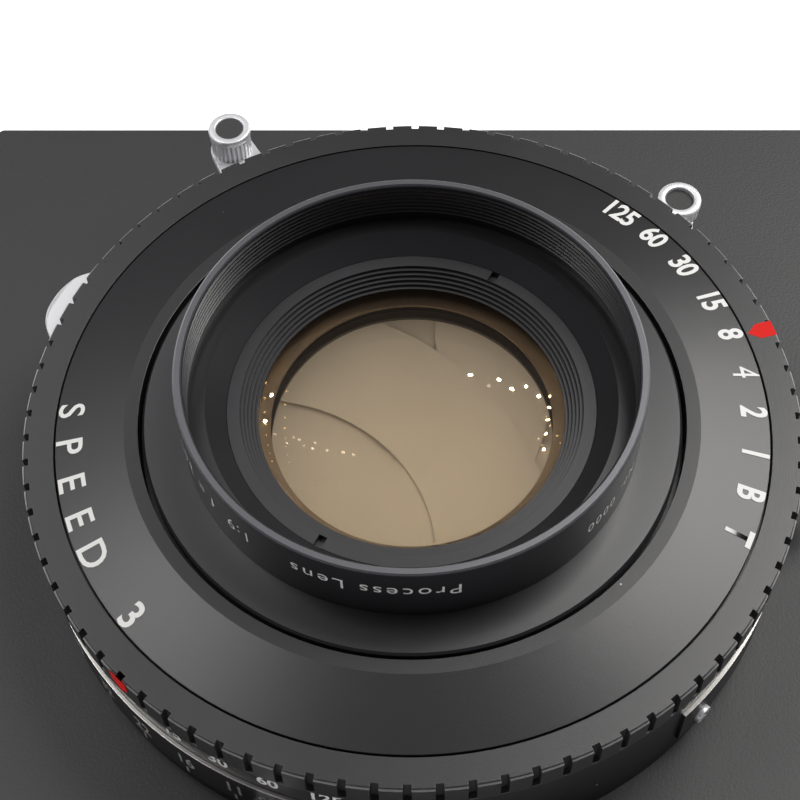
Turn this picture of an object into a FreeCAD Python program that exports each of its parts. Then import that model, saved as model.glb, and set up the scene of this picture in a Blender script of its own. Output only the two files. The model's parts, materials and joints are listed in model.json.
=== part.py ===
import FreeCAD, Part
import math
import os
import Sketcher
from FreeCAD import Placement, Rotation, Vector

# A process-camera lens in a size 3 leaf shutter, bolted to a flat lens board.
# The optical axis is Z, the front of the lens is +Z, the board's edges run along X and Y.
# Level 0 is the rim of the rear barrel, on which the lens stands.

os.makedirs("parts", exist_ok=True)
doc = FreeCAD.newDocument("process_lens")
sheet = doc.addObject("Spreadsheet::Sheet", "Sizes")

DRIVING_SIZES = {
    # levels along the optical axis
    "ring_level": 41.0, "board_level": 19.0, "plate_level": 30.0, "carrier_level": 35.4,
    "seat_level": 41.4, "front_rim_level": 53.4, "tube_end_level": 8.9,
    # lens board and its lock ring
    "board_side": 140.0, "board_thick": 2.0, "board_corner": 1.0, "board_hole_dia": 65.2,
    "trap_inset": 7.0, "trap_width": 1.6, "trap_depth": 1.5,
    "lock_ring_dia": 75.0, "lock_ring_thick": 3.0, "tube_dia": 64.0,
    # shutter body
    "shutter_dia": 102.0, "body_dia": 100.6, "wall": 2.0, "opening_dia": 45.0, "cell_bore_dia": 58.1,
    "floor_thick": 2.0, "face_dia": 93.4, "land_dia": 75.0, "face_bore_dia": 71.3,
    "face_rise": 2.0, "sheet_thick": 1.2, "running_gap": 0.08, "neck_dia": 62.0,
    # notched speed ring
    "notch_count": 84.0, "notch_width": 1.0, "notch_depth": 0.8, "notch_height": 4.0,
    "ring_height": 4.52, "ring_chamfer": 0.3,
    # lens cells
    "barrel_dia": 59.7, "thread_dia": 58.0, "thread_pitch": 0.75, "thread_turns": 7.0,
    "rear_turns": 4.0,
    "flange_dia": 70.2, "flange_rise": 2.1, "glass_dia": 44.0, "inner_glass_dia": 38.0,
    "clear_dia": 40.2, "keeper_dia": 48.0, "step_count": 5.0, "keeper_slot_azimuth": 61.6,
    "outer_curve": 85.0, "outer_back_curve": 260.0, "inner_front_curve": 150.0,
    "inner_back_curve": 110.0, "outer_glass_thick": 7.0, "inner_glass_thick": 1.6,
    "glass_space": 1.3, "outer_vertex": 43.91,
    # levers
    "arm_thick": 1.2, "knob_dia": 6.3, "knob_height": 4.5, "inlay_dia": 4.1,
    "cocking_reach": 60.3, "cocking_azimuth": 117.9, "cocking_travel": 35.0,
    "release_reach": 55.5, "release_azimuth": 45.7, "release_travel": 8.0,
    "release_pivot_reach": 43.5, "release_pivot_azimuth": 33.0,
    "focus_reach": 55.3, "focus_azimuth": 157.0, "focus_travel": 12.0, "focus_pad_curve": 7.5,
    # iris and shutter blades
    "blade_thick": 0.15, "blade_pitch": 0.3, "pin_dia": 1.2,
    "iris_count": 7.0, "iris_pivot_reach": 36.5, "iris_outer": 35.0, "iris_inner": 22.9,
    "iris_turn": 33.3, "iris_pin_offset": 6.5, "pointer_travel": 54.0, "pointer_azimuth": 249.5,
    "leaf_count": 5.0, "leaf_pivot_reach": 40.0, "leaf_outer": 38.4, "leaf_inner": 22.9,
    "leaf_turn": 35.5, "leaf_pin_offset": 5.0,
    # speed ring travel each way from the resting mark
    "speed_up": 33.3, "speed_down": 39.2, "cam_azimuth": 180.0,
    # plates on the shutter's side
    "side_plate_thick": 0.5, "side_plate_low": 22.9, "side_plate_high": 30.6,
    # retard gears
    "gear_module": 0.5, "sector_teeth": 140.0, "pinion_teeth": 14.0, "wheel_teeth": 20.0,
    "escape_pinion_teeth": 10.0, "gear_azimuth": 250.0,
}
for row, (word, number) in enumerate(DRIVING_SIZES.items(), start=1):
    sheet.set(f"A{row}", word)
    sheet.set(f"B{row}", str(number))
    sheet.setAlias(f"B{row}", word)
doc.recompute()


class Dim:
    """A size with its number and the expression that binds it to the sheet."""

    def __init__(self, value, text):
        self.value = value
        self.text = text

    def __add__(self, other):
        return join(self, "+", other)

    def __sub__(self, other):
        return join(self, "-", other)

    def __mul__(self, other):
        return join(self, "*", other)

    def __truediv__(self, other):
        return join(self, "/", other)

    def __rsub__(self, other):
        return join(other, "-", self)


def as_dim(size):
    """A plain number as a Dim, so that both kinds mix."""
    return size if isinstance(size, Dim) else Dim(float(size), repr(float(size)))


def join(left, sign, right):
    """The Dim of two sizes joined by an arithmetic sign."""
    left, right = as_dim(left), as_dim(right)
    results = {"+": left.value + right.value, "-": left.value - right.value,
               "*": left.value * right.value}
    value = left.value / right.value if sign == "/" else results[sign]
    return Dim(value, f"({left.text} {sign} {right.text})")


def size(word):
    """The Dim of one cell of the sheet."""
    return Dim(float(sheet.get(word)), f"Sizes.{word}")


def half(word):
    """Half of one cell: the radius of a diameter."""
    return size(word) / 2


parts = []


def keep(item, label, placement=None):
    """Names an object as a sub-part that is written out."""
    item.Label = label
    if placement is not None:
        item.Placement = placement
    parts.append(item)
    return item


def bind(item, name, dim):
    """Ties a property to the sheet, or sets it when it is a plain number."""
    dim = as_dim(dim)
    item.setExpression(name, dim.text)


def plane_of(body, role):
    return next(f for f in body.Origin.OriginFeatures if f.Role == role)


def sketch_on(body, name, role, offset=None):
    """A sketch on one of the body's own origin planes."""
    sketch = body.newObject("Sketcher::SketchObject", name)
    sketch.AttachmentSupport = [(plane_of(body, role), "")]
    sketch.MapMode = "FlatFace"
    if offset is not None:
        sketch.AttachmentOffset = offset
    return sketch


def draw_outline(sketch, points):
    """Closed outline of straight lines through bound points (across, along)."""
    points = [(as_dim(u), as_dim(v)) for u, v in points]
    corners = [Vector(u.value, v.value, 0) for u, v in points]
    last = len(points)
    first = sketch.addGeometry([Part.LineSegment(corners[i], corners[(i + 1) % last])
                                for i in range(last)], False)[0]
    ties = [Sketcher.Constraint("Coincident", first + i, 2, first + (i + 1) % last, 1)
            for i in range(last)]
    sketch.addConstraint(ties)
    for i, (u, v) in enumerate(points):
        for dim, kind, axis in ((u, "DistanceX", -2), (v, "DistanceY", -1)):
            if abs(dim.value) < 1e-9:
                sketch.addConstraint(Sketcher.Constraint("PointOnObject", first + i, 1, axis))
                continue
            tie = sketch.addConstraint(Sketcher.Constraint(kind, -1, 1, first + i, 1, dim.value))
            sketch.setExpression(f"Constraints[{tie}]", dim.text)
    return sketch


def turned(label, seat, outline, sweep=None, azimuth=0, kept=True):
    """A piece turned about the optical axis from (radius, level) points, standing at its seat."""
    seat = as_dim(seat)
    body = doc.addObject("PartDesign::Body", label)
    sketch = sketch_on(body, label + "_profile", "XZ_Plane")
    draw_outline(sketch, [(radius, as_dim(level) - seat) for radius, level in outline])
    spin = body.newObject("PartDesign::Revolution", label + "_turn")
    spin.Profile = sketch
    spin.ReferenceAxis = (sketch, ["V_Axis"])
    spin.Midplane = True
    if sweep is None:
        spin.Angle = 360
    else:
        bind(spin, "Angle", sweep)
    sketch.Visibility = False
    body.Placement = Placement(Vector(0, 0, seat.value), Rotation(Vector(0, 0, 1), as_dim(azimuth).value))
    body.setExpression("Placement.Base.z", seat.text)
    if kept:
        keep(body, label)
    return body


def arc_groove(body, name, azimuth, sweep, near, far, low, high):
    """Cuts an arc-shaped slot between two radii and two levels, centred on an azimuth."""
    seat = body.Placement.Base.z
    turn = Rotation(Vector(0, 1, 0), as_dim(azimuth).value - math.degrees(body.Placement.Rotation.Angle))
    sketch = sketch_on(body, name + "_profile", "XZ_Plane", Placement(Vector(), turn))
    draw_outline(sketch, [(near, low - seat), (far, low - seat), (far, high - seat), (near, high - seat)])
    doc.recompute()
    before = body.Shape.Volume
    groove = body.newObject("PartDesign::Groove", name)
    groove.Profile = sketch
    groove.ReferenceAxis = (sketch, ["V_Axis"])
    groove.Midplane = True
    bind(groove, "Angle", sweep)
    doc.recompute()
    if body.Shape.Volume >= before:
        raise RuntimeError(f"{name} cuts nothing")


def ring_pattern(body, feature, count):
    """Repeats a feature evenly about the body's own Z axis."""
    pattern = body.newObject("PartDesign::PolarPattern", feature.Name + "_ring")
    pattern.Originals = [feature]
    pattern.Axis = (next(f for f in body.Origin.OriginFeatures if f.Role == "Z_Axis"), [""])
    pattern.Angle = 360
    pattern.Occurrences = int(as_dim(count).value)
    body.Tip = pattern
    doc.recompute()
    return pattern


def milled_slots(body, name, top, depth, outline, count):
    """Pockets an outline downwards from a level, repeated about the axis."""
    top = as_dim(top) - body.Placement.Base.z
    sketch = sketch_on(body, name + "_outline", "XY_Plane", Placement(Vector(0, 0, top.value), Rotation()))
    draw_outline(sketch, outline)
    doc.recompute()
    before = body.Shape.Volume
    pocket = body.newObject("PartDesign::Pocket", name)
    pocket.Profile = sketch
    bind(pocket, "Length", depth)
    ring_pattern(body, pocket, count)
    if body.Shape.Volume >= before:
        raise RuntimeError(f"{name} cuts nothing")


def polar(reach, azimuth, level=0.0):
    """A point at a radius, an azimuth in degrees and a level."""
    angle = math.radians(azimuth)
    return Vector(reach * math.cos(angle), reach * math.sin(angle), level)


def about_axis(azimuth):
    return Placement(Vector(), Rotation(Vector(0, 0, 1), azimuth))


def rod(name, radius, height, at, direction=Vector(0, 0, 1)):
    """A primitive cylinder that starts at a point and runs in a direction."""
    item = doc.addObject("Part::Cylinder", name)
    bind(item, "Radius", radius)
    bind(item, "Height", height)
    item.Placement = Placement(at, Rotation(Vector(0, 0, 1), direction))
    return item


def fused(label, items, kept=True):
    item = doc.addObject("Part::MultiFuse", label)
    item.Shapes = items
    if kept:
        keep(item, label)
    return item


def cut(label, base, tools, kept=True):
    tool = tools[0] if len(tools) == 1 else fused(label + "_tools", tools, kept=False)
    item = doc.addObject("Part::Cut", label)
    item.Base = base
    item.Tool = tool
    if kept:
        keep(item, label)
    return item


def shaped(label, shape, placement=None):
    """A sub-part whose outline only Part's own functions can draw."""
    item = doc.addObject("Part::Feature", label)
    item.Shape = shape
    return keep(item, label, placement)


# ---------------------------------------------------------------- lens board and lock ring

ring_level = size("ring_level")
board_level = size("board_level")
board_back = board_level - size("board_thick")
tube_end = size("tube_end_level")


def square_outline(side):
    return [(side / -2, side / -2), (side / 2, side / -2), (side / 2, side / 2), (side / -2, side / 2)]


def lens_board():
    """Flat square board with a round hole and a raised light-trap frame on its back."""
    body = doc.addObject("PartDesign::Body", "board_plate")
    sketch = sketch_on(body, "board_outline", "XY_Plane")
    draw_outline(sketch, square_outline(size("board_side")))
    pad = body.newObject("PartDesign::Pad", "board_pad")
    pad.Profile = sketch
    bind(pad, "Length", size("board_thick"))
    trap_side = size("board_side") - size("trap_inset") * 2
    trap = sketch_on(body, "trap_outline", "XY_Plane")
    draw_outline(trap, square_outline(trap_side))
    draw_outline(trap, square_outline(trap_side - size("trap_width") * 2))
    frame = body.newObject("PartDesign::Pad", "trap_frame")
    frame.Profile = trap
    frame.Reversed = True
    bind(frame, "Length", size("trap_depth"))
    doc.recompute()
    corners = [f"Edge{n}" for n, edge in enumerate(frame.Shape.Edges, start=1)
               if abs(edge.Length - size("board_thick").value) < 1e-6
               and abs(edge.CenterOfMass.x) > size("board_side").value / 2 - 1]
    rounding = body.newObject("PartDesign::Fillet", "board_corners")
    rounding.Base = (frame, corners)
    bind(rounding, "Radius", size("board_corner"))
    hole = sketch_on(body, "board_hole_outline", "XY_Plane")
    hole.addGeometry(Part.Circle(Vector(), Vector(0, 0, 1), half("board_hole_dia").value), False)
    hole.addConstraint(Sketcher.Constraint("Coincident", 0, 3, -1, 1))
    tie = hole.addConstraint(Sketcher.Constraint("Diameter", 0, size("board_hole_dia").value))
    hole.setExpression(f"Constraints[{tie}]", size("board_hole_dia").text)
    pocket = body.newObject("PartDesign::Pocket", "board_hole")
    pocket.Profile = hole
    pocket.Type = "ThroughAll"
    pocket.Midplane = True
    body.setExpression("Placement.Base.z", board_back.text)
    index_hole = rod("board_index_hole", index_pin_radius + 0.05, 6, index_pin_place - Vector(0, 0, 4))
    cut("lens_board", body, [index_hole])


def board_lock_ring():
    """Slotted ring on the shutter's rear tube that clamps the board."""
    top, bottom = board_back, board_back - size("lock_ring_thick")
    outer, bore = half("lock_ring_dia"), half("tube_dia")
    body = turned("board_lock_ring", bottom,
                  [(bore, bottom), (outer - 0.4, bottom), (outer, bottom + 0.4), (outer, top - 0.3),
                   (outer - 0.3, top), (bore, top)])
    milled_slots(body, "spanner_slots", top + 1, size("lock_ring_thick") + 2,
                 [(outer - 1.6, -1.5), (outer + 1, -1.5), (outer + 1, 1.5), (outer - 1.6, 1.5)], 6)


# ---------------------------------------------------------------- shutter body

body_radius = half("body_dia")
floor_top = board_level + size("floor_thick")
plate_level = size("plate_level")
carrier_level = size("carrier_level")
wall_top_bore = body_radius - size("wall")
plate_bore = wall_top_bore - 0.7
leaf_bore = wall_top_bore - 1.0
iris_bore = wall_top_bore - 1.4
divider_level = board_level + 6.0
sector_level = board_level + 8.5
iris_ring_level = floor_top + 0.1
cocking_level = plate_level + 2.0
release_level = plate_level + 4.0
focus_level = plate_level - 1.25
carrier_top = size("carrier_level") + 1.0
socket_azimuth = 62.0
sync_azimuth = 357.0
socket_level = board_level + 8.0
side_screw_azimuths = (197.5, 270.5, 316.8, 346.5)
side_screw_level = board_level + 6.2
side_shank = 0.6
side_head = 1.3
carrier_screw_azimuths = (20.0, 65.0, 200.0, 290.0)
carrier_screw_reach = body_radius - 1.0
carrier_shank = 0.5
carrier_head = 0.85
index_pin_radius = 1.2
index_pin_place = Vector(0, 36.0, board_level.value)


def shutter_housing():
    """Cup with a stepped bore, a rear tube for the board and the rear cell, and lever slots."""
    bore = half("cell_bore_dia")
    outline = [
        (half("opening_dia"), board_level), (bore, board_level), (bore, tube_end),
        (half("tube_dia") - 0.3, tube_end), (half("tube_dia"), tube_end + 0.3),
        (half("tube_dia"), board_level), (body_radius, board_level), (body_radius, carrier_level),
        (wall_top_bore, carrier_level), (wall_top_bore, plate_level), (plate_bore, plate_level),
        (plate_bore, sector_level), (leaf_bore, sector_level), (leaf_bore, divider_level),
        (iris_bore, divider_level), (iris_bore, floor_top), (half("opening_dia"), floor_top),
    ]
    cup = turned("housing_cup", tube_end, outline, kept=False)
    near, far = iris_bore - 1, body_radius + 1
    travel = size("pointer_travel")
    arc_groove(cup, "pointer_slot", size("pointer_azimuth") - travel / 2, travel + 9, near, far,
               iris_ring_level - 0.1, iris_ring_level + 1.3)
    arc_groove(cup, "focus_slot", size("focus_azimuth") - size("focus_travel") / 2,
               size("focus_travel") + 9, near, far, focus_level - 0.1, focus_level + 0.95)
    arc_groove(cup, "cocking_slot", size("cocking_azimuth") - size("cocking_travel") / 2,
               size("cocking_travel") + 14, near, far, cocking_level - 0.2, cocking_level + 1.4)
    arc_groove(cup, "release_slot", 38.1, 15, near, far, release_level - 0.2, carrier_level)
    holes = [rod(f"side_hole_{n}", 2.6, 6, polar(46.0, azimuth, socket_level.value), polar(1, azimuth))
             for n, azimuth in enumerate((socket_azimuth, sync_azimuth))]
    holes += [rod(f"side_tap_{n}", side_shank, 4, polar(body_radius.value - 1.0, azimuth, side_screw_level.value),
                  polar(1, azimuth)) for n, azimuth in enumerate(side_screw_azimuths)]
    holes += [rod(f"carrier_tap_{n}", carrier_shank, 4,
                  polar(carrier_screw_reach.value, azimuth, carrier_level.value - 2.5))
              for n, azimuth in enumerate(carrier_screw_azimuths)]
    holes += [rod("index_pin_hole", index_pin_radius, 1.0, index_pin_place)]
    cut("shutter_housing", cup, holes)


def plate_snap_ring():
    """Spring ring in the housing wall that holds the mechanism plate down."""
    low, high = plate_level + 1.5, plate_level + 1.85
    turned("plate_snap_ring", low, [(wall_top_bore - 2.0, low), (wall_top_bore - 0.05, low),
                                    (wall_top_bore - 0.05, high), (wall_top_bore - 2.0, high)])


def board_index_pin():
    """Pin behind the shutter that stops it turning on the board."""
    pin = rod("board_index_pin", index_pin_radius, 2.5, index_pin_place - Vector(0, 0, 1.5))
    keep(pin, "board_index_pin")


def mechanism_plate():
    """Plate across the shutter with the front threaded tube that carries the front cell."""
    top = plate_level + 1.5
    turned("mechanism_plate", plate_level, [
        (half("opening_dia"), plate_level), (wall_top_bore - 0.05, plate_level), (wall_top_bore - 0.05, top),
        (half("neck_dia"), top), (half("neck_dia"), size("seat_level")),
        (half("cell_bore_dia"), size("seat_level")), (half("cell_bore_dia"), top + 1),
        (half("opening_dia") + 2, top), (half("opening_dia"), top)])


def ring_carrier():
    """Flanged spigot on which the notched speed ring turns."""
    spigot = half("shutter_dia") - 5.15
    top = ring_level - 1.5
    body = turned("carrier_blank", carrier_level, [
        (spigot - 2, carrier_level), (body_radius, carrier_level), (body_radius, carrier_top),
        (spigot, carrier_top), (spigot, top), (spigot - 2, top)], kept=False)
    swing = size("speed_up") + size("speed_down")
    arc_groove(body, "cam_slot", size("cam_azimuth") + (size("speed_up") - size("speed_down")) / 2,
               swing + 12, spigot - 3, spigot + 1, ring_level - 4, ring_level - 3)
    seats = []
    for n, azimuth in enumerate(carrier_screw_azimuths):
        seats.append(rod(f"carrier_hole_{n}", carrier_shank, 3,
                         polar(carrier_screw_reach.value, azimuth, carrier_level.value - 1)))
        seats.append(rod(f"carrier_seat_{n}", carrier_head, 3,
                         polar(carrier_screw_reach.value, azimuth, carrier_level.value + 0.4)))
    cut("ring_carrier", body, seats)


def speed_ring():
    """Notched ring that sets the shutter speed, with an inner lip held down by the face plate."""
    outer, lip = half("shutter_dia"), half("shutter_dia") - 5.15 + size("running_gap")
    bottom, lip_top = ring_level - size("ring_height"), ring_level - 1.58
    chamfer = size("ring_chamfer")
    inner = half("face_dia") + 0.25
    body = turned("speed_ring", bottom, [
        (lip, bottom), (outer, bottom), (outer, ring_level - chamfer), (outer - chamfer, ring_level),
        (inner, ring_level), (inner, lip_top), (lip, lip_top)])
    width, depth = size("notch_width"), size("notch_depth")
    milled_slots(body, "grip_notches", ring_level, size("notch_height"),
                 [(outer - depth, width / -2), (outer + 1, width / -2), (outer + 1, width / 2),
                  (outer - depth, width / 2)], size("notch_count"))
    arc_groove(body, "key_pocket", size("cam_azimuth"), 8.4, lip - 1, lip + 1.05,
               ring_level - 3.9, ring_level - 3.1)


def speed_cam():
    """Flat cam inside the shutter, keyed to the speed ring."""
    level = ring_level - 3.8
    plate = turned("cam_plate", level, [(37.0, level), (43.4, level), (43.4, level + 0.6), (37.0, level + 0.6)],
                   kept=False)
    key = turned("cam_key", level, [(43.0, level), (46.9, level), (46.9, level + 0.6), (43.0, level + 0.6)],
                 sweep=8, azimuth=size("cam_azimuth"), kept=False)
    steps = [rod(f"cam_step_{n}", 1.2, 2, polar(37.2 + 0.45 * n, 300 + 8.05 * n, level.value - 0.5))
             for n in range(10)]
    cut("speed_cam", fused("cam_blank", [plate, key], kept=False), steps)


def face_plate():
    """Conical front plate that carries the speed numbers."""
    outer, land, bore = half("face_dia"), half("land_dia"), half("face_bore_dia")
    top, thick = ring_level + size("face_rise"), size("sheet_thick")
    lip_top = ring_level - 1.1
    lip = half("neck_dia") + 0.2
    spigot_bore = half("shutter_dia") - 7.2
    turned("face_plate", ring_level - 3, [
        (outer, ring_level - 1.5), (outer, ring_level), (land, top), (bore, top), (bore, lip_top), (lip, lip_top),
        (lip, lip_top - 1), (bore + thick, lip_top - 1), (bore + thick, top - thick),
        (land - 0.2, top - thick), (spigot_bore - 1.5, ring_level - 0.7), (spigot_bore - 1.5, ring_level - 3),
        (spigot_bore, ring_level - 3), (spigot_bore, ring_level - 1.5)])


def face_plate_nut():
    """Slotted nut on the front tube that clamps the face plate under the front cell's flange."""
    bottom, top = ring_level - 1.1, ring_level + 0.3
    bore, outer = half("neck_dia"), half("neck_dia") + 3.6
    body = turned("face_plate_nut", bottom, [(bore, bottom), (outer, bottom), (outer, top), (bore, top)])
    milled_slots(body, "nut_slots", top, 0.8,
                 [(bore + 1, -1), (outer + 1, -1), (outer + 1, 1), (bore + 1, 1)], 4)


# ---------------------------------------------------------------- lens cells

flange_top = ring_level + size("face_rise")
mirror_sum = size("seat_level") + size("tube_end_level")
barrel_radius = half("barrel_dia")
ledge_level = size("front_rim_level") - 7.2
keeper_level = ring_level + 2.9
keeper_foot = ring_level + 0.6


def cell_barrel(rim_level, turns):
    """Outline of the front barrel: filter thread, black cone, glass bores and the thread below."""
    crest = half("thread_dia") - 0.4
    root = half("thread_dia")
    pitch = size("thread_pitch")
    outline = [(barrel_radius, flange_top + 0.1), (barrel_radius, rim_level - 0.25),
               (barrel_radius - 0.25, rim_level), (root - 0.1, rim_level), (crest, rim_level - 0.35)]
    for turn in range(turns):
        start = rim_level - 0.5 - pitch * turn
        outline += [(root, start - pitch * 0.35), (crest, start - pitch * 0.7)]
        if turn < turns - 1:
            outline += [(crest, start - pitch)]
    thread_end = rim_level - 0.5 - pitch * turns
    outline += [
        (root, thread_end - 0.1), (root, ledge_level), (26.6, ledge_level),
        (half("keeper_dia") + 0.05, keeper_level), (half("keeper_dia") + 0.05, keeper_foot - 0.6),
        (half("glass_dia") + 0.05, keeper_foot - 0.6), (half("glass_dia") + 0.05, ring_level - 4.19),
        (half("inner_glass_dia") + 0.05, ring_level - 4.19), (half("inner_glass_dia") + 0.05, inner_edge_low),
        (17.9, inner_edge_low), (17.9, inner_edge_low - 0.45), (21.2, inner_edge_low - 0.45),
        (26.5, ring_level - 6), (26.5, ring_level - 5), (28.9, ring_level - 5),
        (28.9, size("seat_level")), (half("flange_dia"), size("seat_level")),
        (half("flange_dia"), flange_top - 0.3), (half("flange_dia") - 0.3, flange_top)]
    return outline


def sagitta(curve, reach):
    """Depth of a spherical surface between its vertex and a radius."""
    return curve - math.sqrt(curve ** 2 - reach ** 2)


outer_vertex = size("outer_vertex")
outer_back = outer_vertex - size("outer_glass_thick")
inner_vertex = outer_back - size("glass_space")
inner_back = inner_vertex - size("inner_glass_thick")
inner_reach = half("inner_glass_dia")
inner_edge_high = inner_vertex + sagitta(size("inner_front_curve").value, inner_reach.value)
inner_edge_low = inner_back - sagitta(size("inner_back_curve").value, inner_reach.value)


def mirrored(level):
    """The level of the rear cell that answers to a level of the front cell."""
    return mirror_sum - level


def ball(name, radius, level):
    item = doc.addObject("Part::Sphere", name)
    bind(item, "Radius", radius)
    item.setExpression("Placement.Base.z", as_dim(level).text)
    return item


def blank(name, radius, low, high):
    item = rod(name, radius, high - low, Vector(0, 0, low.value))
    item.setExpression("Placement.Base.z", low.text)
    return item


def outer_glass(label, flip):
    """Biconvex outer element: a ground disc inside two spheres."""
    front, back = size("outer_curve"), size("outer_back_curve")
    levels = [outer_back, outer_vertex]
    centres = [outer_vertex - front, outer_back + back]
    if flip:
        levels = [mirrored(level) for level in reversed(levels)]
        centres = [mirrored(level) for level in centres]
    disc = blank(label + "_disc", half("glass_dia"), levels[0], levels[1])
    item = doc.addObject("Part::MultiCommon", label)
    item.Shapes = [disc, ball(label + "_front", front, centres[0]), ball(label + "_back", back, centres[1])]
    keep(item, label)


def inner_glass(label, flip):
    """Biconcave inner element: a disc with a sphere ground out of each face."""
    front, back = size("inner_front_curve"), size("inner_back_curve")
    levels = [inner_edge_low, inner_edge_high]
    centres = [inner_vertex + front, inner_back - back]
    if flip:
        levels = [mirrored(level) for level in reversed(levels)]
        centres = [mirrored(level) for level in centres]
    disc = blank(label + "_disc", inner_reach, levels[0], levels[1])
    cut(label, disc, [ball(label + "_front", front, centres[0]), ball(label + "_back", back, centres[1])])


def keeper_outline(level_of):
    """Stepped inside of the ring that holds the outer glass."""
    count = int(size("step_count").value)
    reach, top, foot = half("keeper_dia"), keeper_level, keeper_foot
    mouth = reach - 1.7
    tread = (mouth - half("clear_dia")) / count
    rise = (top - foot) / count
    outline = [(reach, foot - 0.1), (reach, top), (mouth, top)]
    for step in range(count):
        edge = mouth - tread * step
        outline += [(edge, top - rise * (step + 1)), (edge - tread, top - rise * (step + 1))]
    outline += [(half("clear_dia"), foot - 0.1)]
    return [(radius, level_of(level)) for radius, level in outline]


def lens_cell(prefix, level_of, flip, rim, turns):
    """Barrel, slotted keeper, spacer and two glasses of one half of the lens."""
    outline = [(radius, level_of(level)) for radius, level in cell_barrel(rim, int(turns.value))]
    seat = level_of(rim) if flip else inner_edge_low - 0.45
    turned(prefix + "_barrel", seat, outline)
    low = level_of(keeper_level) if flip else keeper_foot - 0.1
    keeper = turned(prefix + "_keeper", low, keeper_outline(level_of), azimuth=size("keeper_slot_azimuth"))
    top = level_of(keeper_foot - 0.1) if flip else keeper_level
    depth = 0.9 if not flip else as_dim(keeper_level - keeper_foot) + 0.2
    milled_slots(keeper, prefix + "_keeper_slots", top, depth,
                 [(22.4, -0.55), (25.0, -0.55), (25.0, 0.55), (22.4, 0.55)], 2)
    outer_glass(prefix + "_outer_glass", flip)
    inner_glass(prefix + "_inner_glass", flip)
    touch = outer_back + sagitta(size("outer_back_curve").value, 18.2)
    low, high = inner_edge_high, touch
    ring = [(18.2, low), (21.95, low), (21.95, high), (18.2, high)]
    turned(prefix + "_spacer", level_of(high) if flip else low, [(r, level_of(z)) for r, z in ring])


# ---------------------------------------------------------------- blades

def ring_face(inner, outer, start, end):
    """Flat annular sector between two azimuths."""
    def arc(radius, a, b):
        return Part.Arc(polar(radius, a), polar(radius, (a + b) / 2), polar(radius, b)).toShape()
    edges = [arc(outer, start, end), Part.makeLine(polar(outer, end), polar(inner, end)),
             arc(inner, end, start), Part.makeLine(polar(inner, start), polar(outer, start))]
    return Part.Face(Part.Wire(edges))


def capsule(start, end, radius, height):
    """Rounded bar between two points, lying on level 0."""
    along = (end - start).normalize()
    side = Vector(-along.y, along.x, 0) * radius
    edges = [Part.makeLine(start + side, end + side),
             Part.Arc(end + side, end + along * radius, end - side).toShape(),
             Part.makeLine(end - side, start - side),
             Part.Arc(start - side, start - along * radius, start + side).toShape()]
    return Part.Face(Part.Wire(edges)).extrude(Vector(0, 0, height))


def sickle(prefix, span_end, tail):
    """Blade blank in its open place, its pivot on +X, with a rounded tip."""
    inner, outer = size(prefix + "_inner").value, size(prefix + "_outer").value
    thick = size("blade_thick").value
    band = ring_face(inner, outer, -tail, span_end).extrude(Vector(0, 0, thick))
    return band.fuse([Part.makeCylinder((outer - inner) / 2, thick, polar((outer + inner) / 2, span_end))])


def iris_pin_place(share):
    """Drive pin of the first iris blade at a share of its travel, in the shutter's frame."""
    angle = math.radians(-90 + size("iris_turn").value * share)
    offset = size("iris_pin_offset").value
    return Vector(size("iris_pivot_reach").value + offset * math.cos(angle), offset * math.sin(angle), 0)


def iris_blades():
    """Seven sickle blades, each a step higher, with a pivot pin above and a drive pin below."""
    count = int(size("iris_count").value)
    pivot = Vector(size("iris_pivot_reach").value, 0, 0)
    thick = size("blade_thick").value
    pin = size("pin_dia").value / 2
    for n in range(count):
        level = (floor_top + 1.5 + size("blade_pitch") * n).value
        blade = sickle("iris", 125, 5).fuse(capsule(pivot, iris_pin_place(0), 1.6, thick))
        top = divider_level.value + 0.45 - level
        foot = iris_ring_level.value + 0.1 - level
        blade = blade.fuse([Part.makeCylinder(pin, top, pivot),
                            Part.makeCylinder(pin, -foot, iris_pin_place(0) + Vector(0, 0, foot))])
        blade = blade.removeSplitter()
        place = about_axis(n * 360 / count)
        place.Base.z = level
        shaped(f"iris_blade_{n + 1}", blade, place)


def iris_ring():
    """Ring with seven slanted slots that swing the iris blades."""
    outer, inner, thick = iris_bore - 0.1, 34.0, 1.0
    plate = turned("iris_ring_blank", iris_ring_level,
                   [(inner, iris_ring_level), (outer, iris_ring_level),
                    (outer, iris_ring_level + thick), (inner, iris_ring_level + thick)], kept=False)
    travel = size("pointer_travel").value
    stations = 12
    path = []
    for n in range(-1, stations + 2):
        share = n / stations
        path.append(about_axis(travel * share).multVec(iris_pin_place(share)))
    slot_radius = size("pin_dia").value / 2 + 0.12
    links = [capsule(a, b, slot_radius, 3) for a, b in zip(path, path[1:])]
    one = links[0].fuse(links[1:])
    count = int(size("iris_count").value)
    slots = []
    for n in range(count):
        copy = one.copy()
        place = about_axis(n * 360 / count)
        place.Base.z = iris_ring_level.value - 1
        copy.Placement = place
        slots.append(copy)
    tool = doc.addObject("Part::Feature", "iris_slots")
    tool.Shape = Part.makeCompound(slots)
    cut("iris_ring", plate, [tool])


def aperture_pointer():
    """Arm on the iris ring that comes out of the side and carries the finger tab."""
    level, tip = iris_ring_level, 55.0
    azimuth = size("pointer_azimuth")
    root = iris_bore - 0.1
    arm = turned("pointer_arm", level, [(root, level), (tip, level), (tip, level + 1), (root, level + 1)],
                 sweep=5, azimuth=azimuth, kept=False)
    tab = turned("pointer_tab", level, [(tip - 1, level), (tip, level), (tip, level + 7), (tip - 1, level + 7)],
                 sweep=9, azimuth=azimuth, kept=False)
    fused("aperture_pointer", [arm, tab])


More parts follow.
